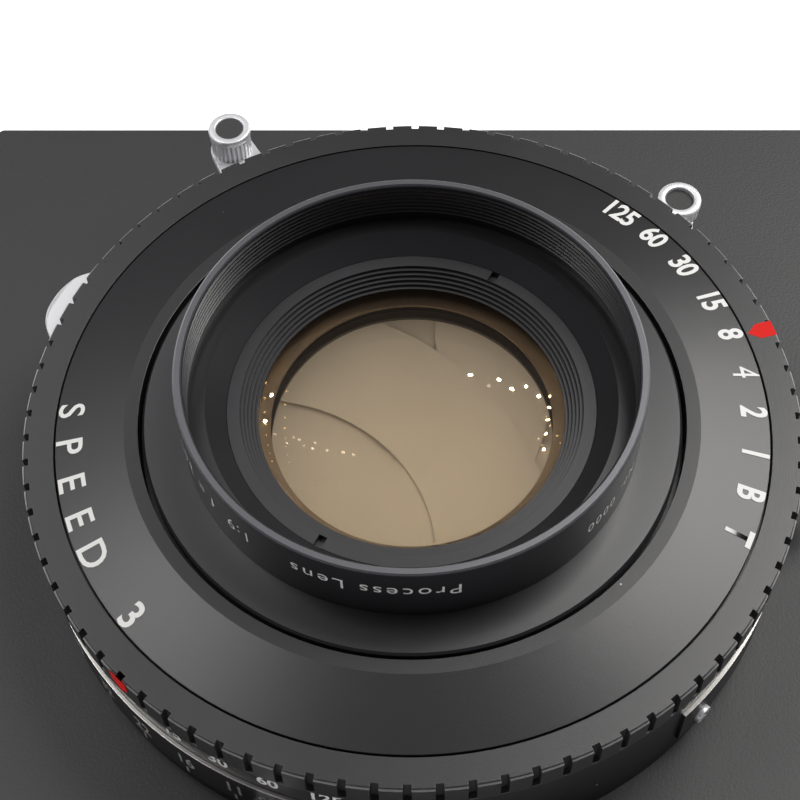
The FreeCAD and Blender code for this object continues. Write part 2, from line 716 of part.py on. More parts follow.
def blade_divider():
    """Thin plate between iris and shutter blades, with the iris pivot holes."""
    reach = leaf_bore - 0.05
    body = turned("divider_blank", divider_level,
                  [(half("opening_dia"), divider_level), (reach, divider_level), (reach, divider_level + 0.5),
                   (half("opening_dia"), divider_level + 0.5)], kept=False)
    count = int(size("iris_count").value)
    holes = [rod(f"iris_pivot_hole_{n + 1}", half("pin_dia") + 0.06, 2,
                 polar(size("iris_pivot_reach").value, n * 360 / count, divider_level.value - 0.5))
             for n in range(count)]
    cut("blade_divider", body, holes)


def leaf_level(n):
    return (divider_level + 0.9 + size("blade_pitch") * n).value


def shutter_blades():
    """Five blades, closed over the opening, each with a pivot hole and a drive slot."""
    count = int(size("leaf_count").value)
    pivot = Vector(size("leaf_pivot_reach").value, 0, 0)
    turn, offset = size("leaf_turn").value, size("leaf_pin_offset").value
    thick, pin = size("blade_thick").value, size("pin_dia").value / 2
    ear = Placement(pivot, Rotation(Vector(0, 0, 1), -turn / 2))
    slot_near, slot_far = (ear.multVec(Vector(offset + shift, 0, 0)) for shift in (-0.1, 0.5))
    blade = sickle("leaf", 118, 8).fuse([Part.makeCylinder(2.4, thick, pivot),
                                         capsule(pivot, ear.multVec(Vector(offset, 0, 0)), 1.45, thick)])
    blade = blade.removeSplitter()
    low = Vector(0, 0, -1)
    blade = blade.cut([Part.makeCylinder(pin + 0.06, 3, pivot + low),
                       capsule(slot_near + low, slot_far + low, pin + 0.15, 3)])
    closing = Placement(Vector(), Rotation(Vector(0, 0, 1), turn), pivot)
    for n in range(count):
        place = about_axis(n * 360 / count).multiply(closing)
        place.Base.z = leaf_level(n)
        shaped(f"shutter_blade_{n + 1}", blade.copy(), place)


def leaf_pivots():
    """Five studs under the mechanism plate on which the shutter blades turn."""
    count = int(size("leaf_count").value)
    foot = divider_level.value + 0.6
    studs = [rod(f"leaf_stud_{n + 1}", half("pin_dia"), plate_level - foot,
                 polar(size("leaf_pivot_reach").value, n * 360 / count, foot)) for n in range(count)]
    group = doc.addObject("Part::Compound", "shutter_blade_pivots")
    group.Links = studs
    keep(group, "shutter_blade_pivots")


def sector_ring():
    """Ring with five pins that opens and closes the shutter blades together."""
    outer, inner, thick = plate_bore - 0.1, 42.0, 1.0
    level = sector_level + 0.1
    plate = turned("sector_blank", level,
                   [(inner, level), (outer, level), (outer, level + thick), (inner, level + thick)], kept=False)
    count = int(size("leaf_count").value)
    reach = size("leaf_pivot_reach").value + size("leaf_pin_offset").value
    foot = divider_level.value + 0.6
    lead = math.degrees(leaf_ring_turn()) / 2
    pins = [rod(f"leaf_pin_{n + 1}", half("pin_dia"), level - foot + 0.2,
                polar(reach, n * 360 / count + lead, foot)) for n in range(count)]
    fused("sector_ring", [plate] + pins)


def leaf_ring_turn():
    """Turn of the sector ring, in radians, that swings the blades through their whole angle."""
    reach, offset = size("leaf_pivot_reach").value, size("leaf_pin_offset").value
    swing = math.tan(math.radians(size("leaf_turn").value / 2))
    low, high = 0.0, 0.3
    for _ in range(40):
        middle = (low + high) / 2
        gap = (reach + offset) * math.sin(middle) - swing * ((reach + offset) * math.cos(middle) - reach)
        low, high = (middle, high) if gap < 0 else (low, middle)
    return 2 * low


# ---------------------------------------------------------------- levers

def knob(label, at, height, recess):
    """Knurled finger knob, turned with a groove under its head and a recess for the inlay."""
    radius, inlay = half("knob_dia"), half("inlay_dia") + 0.05
    body = doc.addObject("PartDesign::Body", label)
    sketch = sketch_on(body, label + "_profile", "XZ_Plane")
    tall = as_dim(height)
    draw_outline(sketch, [(0, 0), (radius - 0.35, 0), (radius - 0.35, tall - 1.5), (radius, tall - 1.0),
                          (radius, tall - 0.35), (radius - 0.35, tall), (inlay, tall), (inlay, tall - recess),
                          (0, tall - recess)])
    spin = body.newObject("PartDesign::Revolution", label + "_turn")
    spin.Profile = sketch
    spin.ReferenceAxis = (sketch, ["V_Axis"])
    spin.Angle = 360
    body.Placement = Placement(at, Rotation())
    keep(body, label)


def inlay(label, at, thick):
    item = doc.addObject("Part::Cylinder", label)
    bind(item, "Radius", half("inlay_dia"))
    bind(item, "Height", thick)
    keep(item, label, Placement(at, Rotation()))


def tapered_arm(label, start, end, near_half, far_half, thick):
    """Flat arm that narrows from its root to its rounded end."""
    along = (end - start).normalize()
    side = Vector(-along.y, along.x, 0)
    rise = Vector(0, 0, thick)
    corners = [start + side * near_half, end + side * far_half, end - side * far_half, start - side * near_half]
    edges = [Part.makeLine(corners[0], corners[1]),
             Part.Arc(corners[1], end + along * far_half, corners[2]).toShape(),
             Part.makeLine(corners[2], corners[3]), Part.makeLine(corners[3], corners[0])]
    item = doc.addObject("Part::Feature", label)
    item.Shape = Part.Face(Part.Wire(edges)).extrude(rise)
    return item


def cocking_group():
    """Toothed cocking ring on the front tube, its lever, knob and inlay."""
    teeth = int(size("sector_teeth").value)
    rim = gear_shape(teeth, size("arm_thick").value, 31.0 + 0.08)
    keep_sector = ring_face(30.0, 37.0, -9, 47).extrude(Vector(0, 0, 3))
    turn = about_axis(size("gear_azimuth").value)
    hub = Part.makeCylinder(34.0, size("arm_thick").value).cut(Part.makeCylinder(31.08, 3))
    sector = rim.common(keep_sector)
    sector.Placement = turn
    ring = hub.fuse(sector)
    shaped("cocking_ring", ring, Placement(Vector(0, 0, cocking_level.value), Rotation()))
    azimuth, reach, level = size("cocking_azimuth").value, size("cocking_reach").value, cocking_level.value
    arm = tapered_arm("cocking_arm", polar(33.0, azimuth, level), polar(reach, azimuth, level),
                      5.2, 3.3, size("arm_thick").value)
    cut("cocking_lever", arm, [rod("cocking_arm_seat", 34.0, 4, Vector(0, 0, level - 1))])
    top = level + size("arm_thick").value
    at = polar(reach, azimuth, top)
    knob("cocking_knob", at, size("knob_height"), 0.5)
    inlay("cocking_knob_inlay", at + Vector(0, 0, size("knob_height").value - 0.5), 0.3)


def release_group():
    """Shutter release lever on its own stud, with knob, inlay and hairpin spring."""
    level, thick = release_level.value, 0.9
    pivot = polar(size("release_pivot_reach").value, size("release_pivot_azimuth").value, level)
    end = polar(size("release_reach").value, size("release_azimuth").value, level)
    arm = tapered_arm("release_arm", pivot, end, 2.2, 2.4, thick)
    hub = rod("release_hub", 2.6, thick, pivot)
    bore = rod("release_bore", 1.28, 4, pivot - Vector(0, 0, 1))
    cut("release_lever", fused("release_blank", [arm, hub], kept=False), [bore])
    knob("release_knob", end + Vector(0, 0, thick), 2.6, 0.9)
    inlay("release_knob_inlay", end + Vector(0, 0, thick + 1.7), 0.25)
    top = plate_level.value + 1.5
    stud = rod("release_stud_pin", 1.2, level - top + 1.3, pivot - Vector(0, 0, level - top))
    collar = rod("release_stud_collar", 2.2, level - top - 0.1, pivot - Vector(0, 0, level - top))
    fused("release_stud", [stud, collar])
    release_spring(pivot - Vector(0, 0, level - top), size("release_pivot_azimuth").value)


def release_spring(foot, azimuth):
    """Flat hairpin spring round the stud's collar: one open turn and two legs."""
    inner, outer, thick, leg = 2.3, 2.8, 0.5, 0.25
    turn = Part.makeCylinder(outer, thick).cut(Part.makeCylinder(inner, thick))
    middle = (inner + outer) / 2
    legs = [capsule(polar(middle, side), polar(middle, side) + polar(length, heading), leg, thick)
            for side, heading, length in ((azimuth, azimuth + 98, 5.0), (azimuth + 180, azimuth + 75, 6.5))]
    shaped("release_spring", turn.fuse(legs).removeSplitter(), Placement(foot + Vector(0, 0, 1), Rotation()))


def press_focus_lever():
    """Ring with an arm, an upright stem and a crowned finger pad that holds the blades open."""
    level, thick = focus_level, 0.8
    outer, inner, reach = plate_bore - 0.1, 42.5, size("focus_reach")
    azimuth = size("focus_azimuth")
    turned("press_focus_ring", level,
           [(inner, level), (outer, level), (outer, level + thick), (inner, level + thick)])
    near, far, foot, top = reach - 2.6, reach - 1.8, ring_level - 5, ring_level - 3.1
    stem = turned("focus_stem", level,
                  [(outer, level), (far, level), (far, foot + 0.5), (near, foot + 0.5), (near, level + thick),
                   (outer, level + thick)], sweep=6, azimuth=azimuth, kept=False)
    edge = half("shutter_dia") + 0.4
    band = turned("focus_band", foot,
                  [(edge, foot), (reach + 1, foot), (reach + 1, top - 1.4), (reach - 0.3, top - 0.5),
                   (reach - 1.5, top), (edge + 1, top), (edge, top - 0.5)],
                  sweep=20, azimuth=azimuth, kept=False)
    curve = size("focus_pad_curve")
    outline = rod("focus_pad_outline", curve, 9, polar((reach - curve).value, azimuth.value, level.value))
    pad = doc.addObject("Part::MultiCommon", "focus_pad")
    pad.Shapes = [band, outline]
    fused("press_focus_lever", [stem, pad])


# ---------------------------------------------------------------- retard gears

def gear_shape(teeth, thick, bore):
    """Spur gear with straight-sided teeth, a tooth centred on +X."""
    module = size("gear_module").value
    pitch_radius = module * teeth / 2
    tip, root = pitch_radius + 0.7 * module, pitch_radius - 1.05 * module
    step = 2 * math.pi / teeth
    corners = []
    for n in range(teeth):
        for radius, share in ((root, -0.30), (pitch_radius, -0.205), (tip, -0.11),
                              (tip, 0.11), (pitch_radius, 0.205), (root, 0.30)):
            corners.append(polar(radius, math.degrees(step * (n + share))))
    solid = Part.Face(Part.makePolygon(corners + corners[:1])).extrude(Vector(0, 0, thick))
    return solid.cut(Part.makeCylinder(bore, thick + 2, Vector(0, 0, -1)))


def escape_shape(teeth, thick, bore):
    """Wheel with saw teeth for the retard pallet."""
    corners = []
    for n in range(teeth):
        corners += [polar(4.0, n * 360 / teeth), polar(2.9, n * 360 / teeth + 4)]
    solid = Part.Face(Part.makePolygon(corners + corners[:1])).extrude(Vector(0, 0, thick))
    return solid.cut(Part.makeCylinder(bore, thick + 2, Vector(0, 0, -1)))


def gear_train():
    """Pinion and wheel, escape wheel and pallet, each on its own post."""
    module = size("gear_module").value
    azimuth = size("gear_azimuth").value
    reach = module * (size("sector_teeth").value + size("pinion_teeth").value) / 2
    spacing = module * (size("wheel_teeth").value + size("escape_pinion_teeth").value) / 2
    chord = math.degrees(2 * math.asin(spacing / 2 / reach))
    centres = [polar(reach, azimuth + chord * n) for n in range(3)]
    post, bore = 0.7, 0.76
    low, high = cocking_level.value, cocking_level.value + 1.6
    pinion_teeth, wheel_teeth = int(size("pinion_teeth").value), int(size("wheel_teeth").value)
    inward = azimuth + 180
    pinion = gear_shape(pinion_teeth, 1.6, bore)
    pinion.Placement = Placement(Vector(), Rotation(Vector(0, 0, 1), inward + 180 / pinion_teeth))
    towards = math.degrees(math.atan2(centres[1].y - centres[0].y, centres[1].x - centres[0].x))
    wheel = gear_shape(wheel_teeth, 0.8, bore)
    wheel.Placement = Placement(Vector(0, 0, 1.6), Rotation(Vector(0, 0, 1), towards))
    shaped("retard_gear", pinion.fuse(wheel).removeSplitter(),
           Placement(centres[0] + Vector(0, 0, low), Rotation()))
    escape_teeth = int(size("escape_pinion_teeth").value)
    small = gear_shape(escape_teeth, 1.2, bore)
    small.Placement = Placement(Vector(), Rotation(Vector(0, 0, 1), towards + 180 + 180 / escape_teeth))
    star = escape_shape(15, 0.6, bore)
    star.Placement = Placement(Vector(0, 0, 1.2), Rotation())
    shaped("escape_wheel", small.fuse(star), Placement(centres[1] + Vector(0, 0, high), Rotation()))
    hub = Part.makeCylinder(1.6, 0.8)
    horns = [capsule(Vector(), polar(3.4, angle), 0.5, 0.8) for angle in (-62, 62, 180)]
    weight = Part.makeCylinder(1.3, 0.8, polar(3.2, 180))
    pallet = hub.fuse(horns + [weight]).cut(Part.makeCylinder(bore, 3, Vector(0, 0, -1)))
    back = math.degrees(math.atan2(centres[1].y - centres[2].y, centres[1].x - centres[2].x))
    shaped("retard_pallet", pallet.removeSplitter(),
           Placement(centres[2] + Vector(0, 0, high + 1.1), Rotation(Vector(0, 0, 1), back)))
    top = plate_level.value + 1.5
    posts = [rod(f"gear_post_{n + 1}", post, 4.6, centre + Vector(0, 0, top)) for n, centre in enumerate(centres)]
    collar = rod("pallet_collar", 1.5, high + 1.0 - top, centres[2] + Vector(0, 0, top))
    lift = rod("escape_collar", 1.5, high - 0.1 - top, centres[1] + Vector(0, 0, top))
    base = rod("gear_collar", 1.5, low - 0.1 - top, centres[0] + Vector(0, 0, top))
    group = doc.addObject("Part::Compound", "gear_posts")
    group.Links = [fused("post_a", [posts[0], base], kept=False), fused("post_b", [posts[1], lift], kept=False),
                   fused("post_c", [posts[2], collar], kept=False)]
    keep(group, "gear_posts")


# ---------------------------------------------------------------- side plates, sockets and screws

def side_plates():
    """Curved aperture scale plate and its matching plain plate, on the shutter's side."""
    low, high = size("side_plate_low"), size("side_plate_high")
    inner, outer = body_radius, body_radius + size("side_plate_thick")
    section = [(inner, low), (outer, low), (outer, high), (inner, high)]
    for label, start, end in (("aperture_scale_plate", 192.0, 276.0), ("side_cover_plate", 312.3, 351.0)):
        strip = turned(label + "_strip", low, section, sweep=end - start, azimuth=(start + end) / 2, kept=False)
        holes = [rod(f"{label}_hole_{n}", side_shank, 6, polar(48.0, azimuth, side_screw_level.value),
                     polar(1, azimuth))
                 for n, azimuth in enumerate(side_screw_azimuths) if start < azimuth < end]
        cut(label, strip, holes)


def slotted_screw(at, direction, head, shank, head_high, length):
    """Cheese-head screw whose head stands on a surface at a point."""
    slot = Part.makeBox(head * 2 + 1, head * 0.35, head_high, Vector(-head - 0.5, -head * 0.175, head_high * 0.55))
    solid = Part.makeCylinder(head, head_high).fuse(Part.makeCylinder(shank, length, Vector(0, 0, -length)))
    solid = solid.cut(slot)
    solid.Placement = Placement(at, Rotation(Vector(0, 0, 1), direction))
    return solid


def screw_groups():
    """Side plate screws and the four that hold the ring carrier."""
    reach = (body_radius + size("side_plate_thick")).value
    heads = [slotted_screw(polar(reach, azimuth, side_screw_level.value), polar(1, azimuth),
                           side_head, side_shank, 0.6, 1.4) for azimuth in side_screw_azimuths]
    shaped("side_plate_screws", Part.makeCompound(heads))
    sunk = [slotted_screw(polar(carrier_screw_reach.value, azimuth, carrier_level.value + 0.4), Vector(0, 0, 1),
                          carrier_head, carrier_shank, 0.55, 2.4) for azimuth in carrier_screw_azimuths]
    shaped("carrier_screws", Part.makeCompound(sunk))


def threaded_socket(label, azimuth, collar, tip, bore, depth):
    """Radial socket on the shutter's side: a tapered collar with a bore."""
    out = polar(1, azimuth)
    root = polar(body_radius.value - 1.8, azimuth, socket_level.value)
    shell = rod(label + "_shank", 2.5, 2.0, root, out)
    flange = rod(label + "_flange", collar, 1.2, root + out * 1.9, out)
    nose = rod(label + "_nose", tip, 5.6, root + out * 3.0, out)
    hole = rod(label + "_bore", bore, depth, root + out * (8.6 - depth), out)
    cut(label, fused(label + "_shell", [shell, flange, nose], kept=False), [hole])
    return root, out


def sockets():
    """Cable release socket and flash contact."""
    threaded_socket("cable_release_socket", socket_azimuth, 3.6, 2.9, 1.6, 6.0)
    root, out = threaded_socket("flash_contact_shell", sync_azimuth, 3.6, 2.4, 1.9, 5.0)
    pin = rod("flash_pin_rod", 0.55, 4.6, root + out * 3.6, out)
    keep(pin, "flash_contact_pin")


lens_board()
board_lock_ring()
shutter_housing()
board_index_pin()
mechanism_plate()
plate_snap_ring()
ring_carrier()
speed_ring()
speed_cam()
face_plate()
face_plate_nut()
lens_cell("front", lambda level: level, False, size("front_rim_level"), size("thread_turns"))
lens_cell("rear", mirrored, True, mirror_sum, size("rear_turns"))
iris_blades()
iris_ring()
aperture_pointer()
blade_divider()
shutter_blades()
leaf_pivots()
sector_ring()
cocking_group()
release_group()
press_focus_lever()
gear_train()
side_plates()
screw_groups()
sockets()

doc.recompute()
faults = [f"{item.Label}: {item.State}" for item in doc.Objects
          if "Invalid" in item.State or "Error" in item.State]
for item in parts:
    if item.Shape.isNull() or not item.Shape.isValid():
        faults.append(f"{item.Label}: bad shape")
if faults:
    raise RuntimeError("; ".join(faults))
for item in parts:
    item.Shape.exportStep(f"parts/{item.Label}.step")
    print(item.Label, len(item.Shape.Solids), round(item.Shape.Volume, 2))
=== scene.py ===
"""Studio scene of a large-format process lens in its leaf shutter, on a square lens board."""
from __future__ import annotations

import json
import logging
import math
from dataclasses import dataclass, field
from enum import Enum
from typing import Callable, Sequence

import bmesh
import bpy
from mathutils import Euler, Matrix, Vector

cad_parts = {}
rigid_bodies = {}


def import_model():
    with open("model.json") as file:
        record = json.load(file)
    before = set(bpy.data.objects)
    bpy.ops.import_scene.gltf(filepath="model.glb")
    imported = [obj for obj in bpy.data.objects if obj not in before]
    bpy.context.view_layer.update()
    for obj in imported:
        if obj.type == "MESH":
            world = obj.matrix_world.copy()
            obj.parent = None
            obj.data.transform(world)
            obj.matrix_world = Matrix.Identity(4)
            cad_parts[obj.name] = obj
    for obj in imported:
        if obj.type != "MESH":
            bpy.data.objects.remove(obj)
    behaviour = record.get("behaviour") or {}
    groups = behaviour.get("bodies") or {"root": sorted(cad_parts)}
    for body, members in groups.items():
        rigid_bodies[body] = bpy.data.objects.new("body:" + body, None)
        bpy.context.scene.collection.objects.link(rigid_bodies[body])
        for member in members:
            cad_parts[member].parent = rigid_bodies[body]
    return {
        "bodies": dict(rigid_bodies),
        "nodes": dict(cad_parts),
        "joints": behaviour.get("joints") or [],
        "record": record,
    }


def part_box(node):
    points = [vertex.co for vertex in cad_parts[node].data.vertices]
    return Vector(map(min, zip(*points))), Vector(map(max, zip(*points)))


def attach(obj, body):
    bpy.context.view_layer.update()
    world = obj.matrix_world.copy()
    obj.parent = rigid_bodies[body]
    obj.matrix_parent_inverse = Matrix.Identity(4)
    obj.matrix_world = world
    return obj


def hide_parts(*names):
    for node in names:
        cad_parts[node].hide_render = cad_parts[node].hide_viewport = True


MM = 0.001
FIXED = "lens_and_shutter"
FIGURES = "figure_white"
WELD = 2e-6
FLAT_ANGLE = 0.04
DUST_COLOUR = (0.5, 0.5, 0.5, 1.0)
PATCH_SCALE = 0.11
RAG_SCALE = 2.2
CURVE_STEPS = 4
TURNED_BLEND = 35.0
log = logging.getLogger("process_lens")


# ------------------------------------------------------------------ shader tools

class Wiring:
    """Adds nodes to one node tree and joins them."""

    def __init__(self, tree: bpy.types.NodeTree) -> None:
        """Keeps the tree to work on.

        Args:
            tree: a material's or a group's node tree.
        """
        self.tree = tree

    def add(self, kind: str, **settings: object) -> bpy.types.Node:
        """Adds a node and sets its properties.

        Args:
            kind: the node's type name.
            settings: property names and values.

        Returns:
            The new node.
        """
        node = self.tree.nodes.new(kind)
        for name, value in settings.items():
            setattr(node, name, value)
        return node

    def feed(self, socket: bpy.types.NodeSocket, source: object) -> None:
        """Links a socket to an output, or sets its value.

        Args:
            socket: the input socket.
            source: an output socket or a plain value.
        """
        if isinstance(source, bpy.types.NodeSocket):
            self.tree.links.new(source, socket)
        else:
            socket.default_value = source

    def math(self, operation: str, *terms: object) -> bpy.types.NodeSocket:
        """Result of a Math node.

        Args:
            operation: the node's operation.
            terms: its inputs, sockets or numbers.

        Returns:
            The node's output socket.
        """
        node = self.add("ShaderNodeMath", operation=operation)
        for socket, term in zip(node.inputs, terms):
            self.feed(socket, term)
        return node.outputs[0]

    def blend(self, factor: object, low: object, high: object) -> bpy.types.NodeSocket:
        """Colour between two colours.

        Args:
            factor: share of the second colour.
            low: first colour.
            high: second colour.

        Returns:
            The mixed colour's socket.
        """
        node = self.add("ShaderNodeMix", data_type="RGBA")
        self.feed(node.inputs[0], factor)
        self.feed(node.inputs[6], low)
        self.feed(node.inputs[7], high)
        return node.outputs[2]

    def between(self, factor: object, low: object, high: object) -> bpy.types.NodeSocket:
        """Number between two numbers.

        Args:
            factor: share of the second number.
            low: first number.
            high: second number.

        Returns:
            The mixed number's socket.
        """
        node = self.add("ShaderNodeMix", data_type="FLOAT")
        for index, source in ((0, factor), (2, low), (3, high)):
            self.feed(node.inputs[index], source)
        return node.outputs[0]


def new_group(name: str, inputs: dict[str, float],
              outputs: Sequence[str]) -> tuple[Wiring, dict, bpy.types.Node]:
    """Starts a shader node group with number sockets.

    Args:
        name: the group's name.
        inputs: input names and default values.
        outputs: output names.

    Returns:
        The wiring, the input sockets by name and the output node.
    """
    group = bpy.data.node_groups.new(name, "ShaderNodeTree")
    for label, value in inputs.items():
        socket = group.interface.new_socket(label, in_out="INPUT", socket_type="NodeSocketFloat")
        socket.default_value = value
    for label in outputs:
        group.interface.new_socket(label, in_out="OUTPUT", socket_type="NodeSocketFloat")
    wires = Wiring(group)
    entry = wires.add("NodeGroupInput")
    given = {socket.name: socket for socket in entry.outputs if socket.name}
    return wires, given, wires.add("NodeGroupOutput")


class Effects:
    """Shader groups that several finishes share. All their sizes are in millimetres."""

    @staticmethod
    def place(wires: Wiring) -> bpy.types.NodeSocket:
        """Object coordinates in millimetres.

        Args:
            wires: the tree to work in.

        Returns:
            The vector's socket.
        """
        scale = wires.add("ShaderNodeVectorMath", operation="SCALE")
        wires.feed(scale.inputs[0], wires.add("ShaderNodeTexCoord").outputs["Object"])
        scale.inputs["Scale"].default_value = 1 / MM
        return scale.outputs[0]

    @staticmethod
    def radius(wires: Wiring, place: bpy.types.NodeSocket) -> tuple:
        """Distance from the optical axis and level along it.

        Args:
            wires: the tree to work in.
            place: a position in millimetres.

        Returns:
            The radius and level sockets.
        """
        parts = wires.add("ShaderNodeSeparateXYZ")
        wires.feed(parts.inputs[0], place)
        across = wires.math("MULTIPLY", parts.outputs[0], parts.outputs[0])
        along = wires.math("MULTIPLY", parts.outputs[1], parts.outputs[1])
        return wires.math("SQRT", wires.math("ADD", across, along)), parts.outputs[2]

    def grain(self) -> bpy.types.NodeTree:
        """Fine tooth of a paint or blasted metal, and its slow change of shade.

        Returns:
            The group, with outputs Height and Shade.
        """
        wires, given, exit_node = new_group("fine_grain", {"Grain": 0.3, "Cloud": 18.0}, ("Height", "Shade"))
        place = self.place(wires)
        for label, size, depth in (("Height", given["Grain"], 3.0), ("Shade", given["Cloud"], 4.0)):
            noise = wires.add("ShaderNodeTexNoise")
            wires.feed(noise.inputs["Vector"], place)
            wires.feed(noise.inputs["Scale"], wires.math("DIVIDE", 1.0, size))
            noise.inputs["Detail"].default_value = depth
            wires.feed(exit_node.inputs[label], noise.outputs[0])
        return wires.tree

    def turning(self) -> bpy.types.NodeTree:
        """Fine rings that a lathe leaves round the optical axis.

        Returns:
            The group, with output Height.
        """
        wires, given, exit_node = new_group("turning_rings", {"Pitch": 0.12}, ("Height",))
        reach, level = self.radius(wires, self.place(wires))
        ring = wires.add("ShaderNodeCombineXYZ")
        wires.feed(ring.inputs[0], wires.math("DIVIDE", reach, given["Pitch"]))
        wires.feed(ring.inputs[2], wires.math("DIVIDE", level, given["Pitch"]))
        noise = wires.add("ShaderNodeTexNoise")
        wires.feed(noise.inputs["Vector"], ring.outputs[0])
        noise.inputs["Scale"].default_value = 1.0
        wires.feed(exit_node.inputs["Height"], noise.outputs[0])
        return wires.tree

    def dust(self) -> bpy.types.NodeTree:
        """Scattered specks of pale dust.

        Returns:
            The group, with output Mask.
        """
        sizes = {"Spacing": 6.0, "Speck": 0.02, "Cover": 0.55}
        wires, given, exit_node = new_group("dust_specks", sizes, ("Mask",))
        place = self.place(wires)
        cells = wires.add("ShaderNodeTexVoronoi")
        wires.feed(cells.inputs["Vector"], place)
        wires.feed(cells.inputs["Scale"], wires.math("DIVIDE", 1.0, given["Spacing"]))
        patch = wires.add("ShaderNodeTexNoise")
        wires.feed(patch.inputs["Vector"], place)
        patch.inputs["Scale"].default_value = PATCH_SCALE
        speck = wires.math("LESS_THAN", cells.outputs["Distance"], given["Speck"])
        dusty = wires.math("GREATER_THAN", patch.outputs[0], given["Cover"])
        wires.feed(exit_node.inputs["Mask"], wires.math("MULTIPLY", speck, dusty))
        return wires.tree

    def band(self) -> bpy.types.NodeTree:
        """Part of a turned piece between two levels and outside a radius, with a broken edge.

        Returns:
            The group, with output Mask.
        """
        limits = {"Low": 0.0, "High": 1.0, "Inner": 0.0, "Rag": 0.1}
        wires, given, exit_node = new_group("worn_band", limits, ("Mask",))
        place = self.place(wires)
        reach, level = self.radius(wires, place)
        noise = wires.add("ShaderNodeTexNoise")
        wires.feed(noise.inputs["Vector"], place)
        noise.inputs["Scale"].default_value = RAG_SCALE
        stray = wires.math("MULTIPLY", wires.math("SUBTRACT", noise.outputs[0], 0.5), given["Rag"])
        level = wires.math("ADD", level, stray)
        inside = wires.math("MULTIPLY", wires.math("GREATER_THAN", level, given["Low"]),
                            wires.math("LESS_THAN", level, given["High"]))
        wires.feed(exit_node.inputs["Mask"],
                   wires.math("MULTIPLY", inside, wires.math("GREATER_THAN", reach, given["Inner"])))
        return wires.tree


@dataclass(frozen=True)
class Band:
    """Where bare metal shows through a coating."""

    low: float
    high: float
    inner: float = 0.0
    rag: float = 0.06
    colour: tuple = (0.55, 0.53, 0.5)
    roughness: float = 0.3
    metallic: float = 1.0


@dataclass(frozen=True)
class Finish:
    """A surface: its colours, gloss, tooth, lathe rings, dust and bare edges."""

    name: str
    dark: tuple
    light: tuple
    roughness: float
    uneven: float = 0.08
    metallic: float = 0.0
    specular: float = 0.5
    grain: float = 0.3
    tooth: float = 0.01
    cloud: float = 18.0
    rings: float = 0.0
    ring_pitch: float = 0.12
    dusty: float = 0.0
    bare: Band | None = None

    def material(self, effects: dict[str, bpy.types.NodeTree]) -> bpy.types.Material:
        """Builds the finish as a material.

        Args:
            effects: the shared shader groups by name.

        Returns:
            The material.
        """
        made = bpy.data.materials.new(self.name)
        made.use_nodes = True
        wires = Wiring(made.node_tree)
        shader = made.node_tree.nodes["Principled BSDF"]
        shader.inputs["Metallic"].default_value = self.metallic
        shader.inputs["Specular IOR Level"].default_value = self.specular
        grain = wires.add("ShaderNodeGroup", node_tree=effects["grain"])
        grain.inputs["Grain"].default_value = self.grain
        grain.inputs["Cloud"].default_value = self.cloud
        colour = wires.blend(grain.outputs["Shade"], (*self.dark, 1.0), (*self.light, 1.0))
        roughness = wires.between(grain.outputs["Shade"], self.roughness - self.uneven,
                                  self.roughness + self.uneven)
        if self.bare:
            band = wires.add("ShaderNodeGroup", node_tree=effects["band"])
            for label, value in (("Low", self.bare.low), ("High", self.bare.high), ("Inner", self.bare.inner),
                                 ("Rag", self.bare.rag)):
                band.inputs[label].default_value = value
            colour = wires.blend(band.outputs[0], colour, (*self.bare.colour, 1.0))
            roughness = wires.between(band.outputs[0], roughness, self.bare.roughness)
            wires.feed(shader.inputs["Metallic"],
                       wires.between(band.outputs[0], self.metallic, self.bare.metallic))
        if self.dusty:
            dust = wires.add("ShaderNodeGroup", node_tree=effects["dust"])
            dust.inputs["Spacing"].default_value = self.dusty
            colour = wires.blend(dust.outputs[0], colour, DUST_COLOUR)
        wires.feed(shader.inputs["Base Color"], colour)
        wires.feed(shader.inputs["Roughness"], roughness)
        height = wires.math("MULTIPLY", grain.outputs["Height"], self.tooth)
        if self.rings:
            turning = wires.add("ShaderNodeGroup", node_tree=effects["turning"])
            turning.inputs["Pitch"].default_value = self.ring_pitch
            height = wires.math("ADD", height, wires.math("MULTIPLY", turning.outputs[0], self.rings))
        bump = wires.add("ShaderNodeBump")
        bump.inputs["Distance"].default_value = MM
        wires.feed(bump.inputs["Height"], height)
        wires.feed(shader.inputs["Normal"], bump.outputs[0])
        return made


@dataclass(frozen=True)
class CoatedGlass:
    """Optical glass with a warm anti-reflection coating."""

    name: str
    tint: tuple
    index: float = 1.6
    coating: tuple = (1.0, 0.85, 0.65, 1.0)
    cloud: float = 9.0
    deepest: float = 0.96
    haze: float = 0.02

    def material(self, effects: dict[str, bpy.types.NodeTree]) -> bpy.types.Material:
        """Builds the glass as a material.

        Args:
            effects: the shared shader groups by name.

        Returns:
            The material.
        """
        made = bpy.data.materials.new(self.name)
        made.use_nodes = True
        wires = Wiring(made.node_tree)
        shader = made.node_tree.nodes["Principled BSDF"]
        shader.inputs["Transmission Weight"].default_value = 1.0
        shader.inputs["IOR"].default_value = self.index
        shader.inputs["Specular Tint"].default_value = self.coating
        grain = wires.add("ShaderNodeGroup", node_tree=effects["grain"])
        grain.inputs["Cloud"].default_value = self.cloud
        deep = tuple(channel * self.deepest for channel in self.tint)
        wires.feed(shader.inputs["Base Color"],
                   wires.blend(grain.outputs["Shade"], (*deep, 1.0), (*self.tint, 1.0)))
        wires.feed(shader.inputs["Roughness"], wires.between(grain.outputs["Shade"], 0.0, self.haze))
        return made


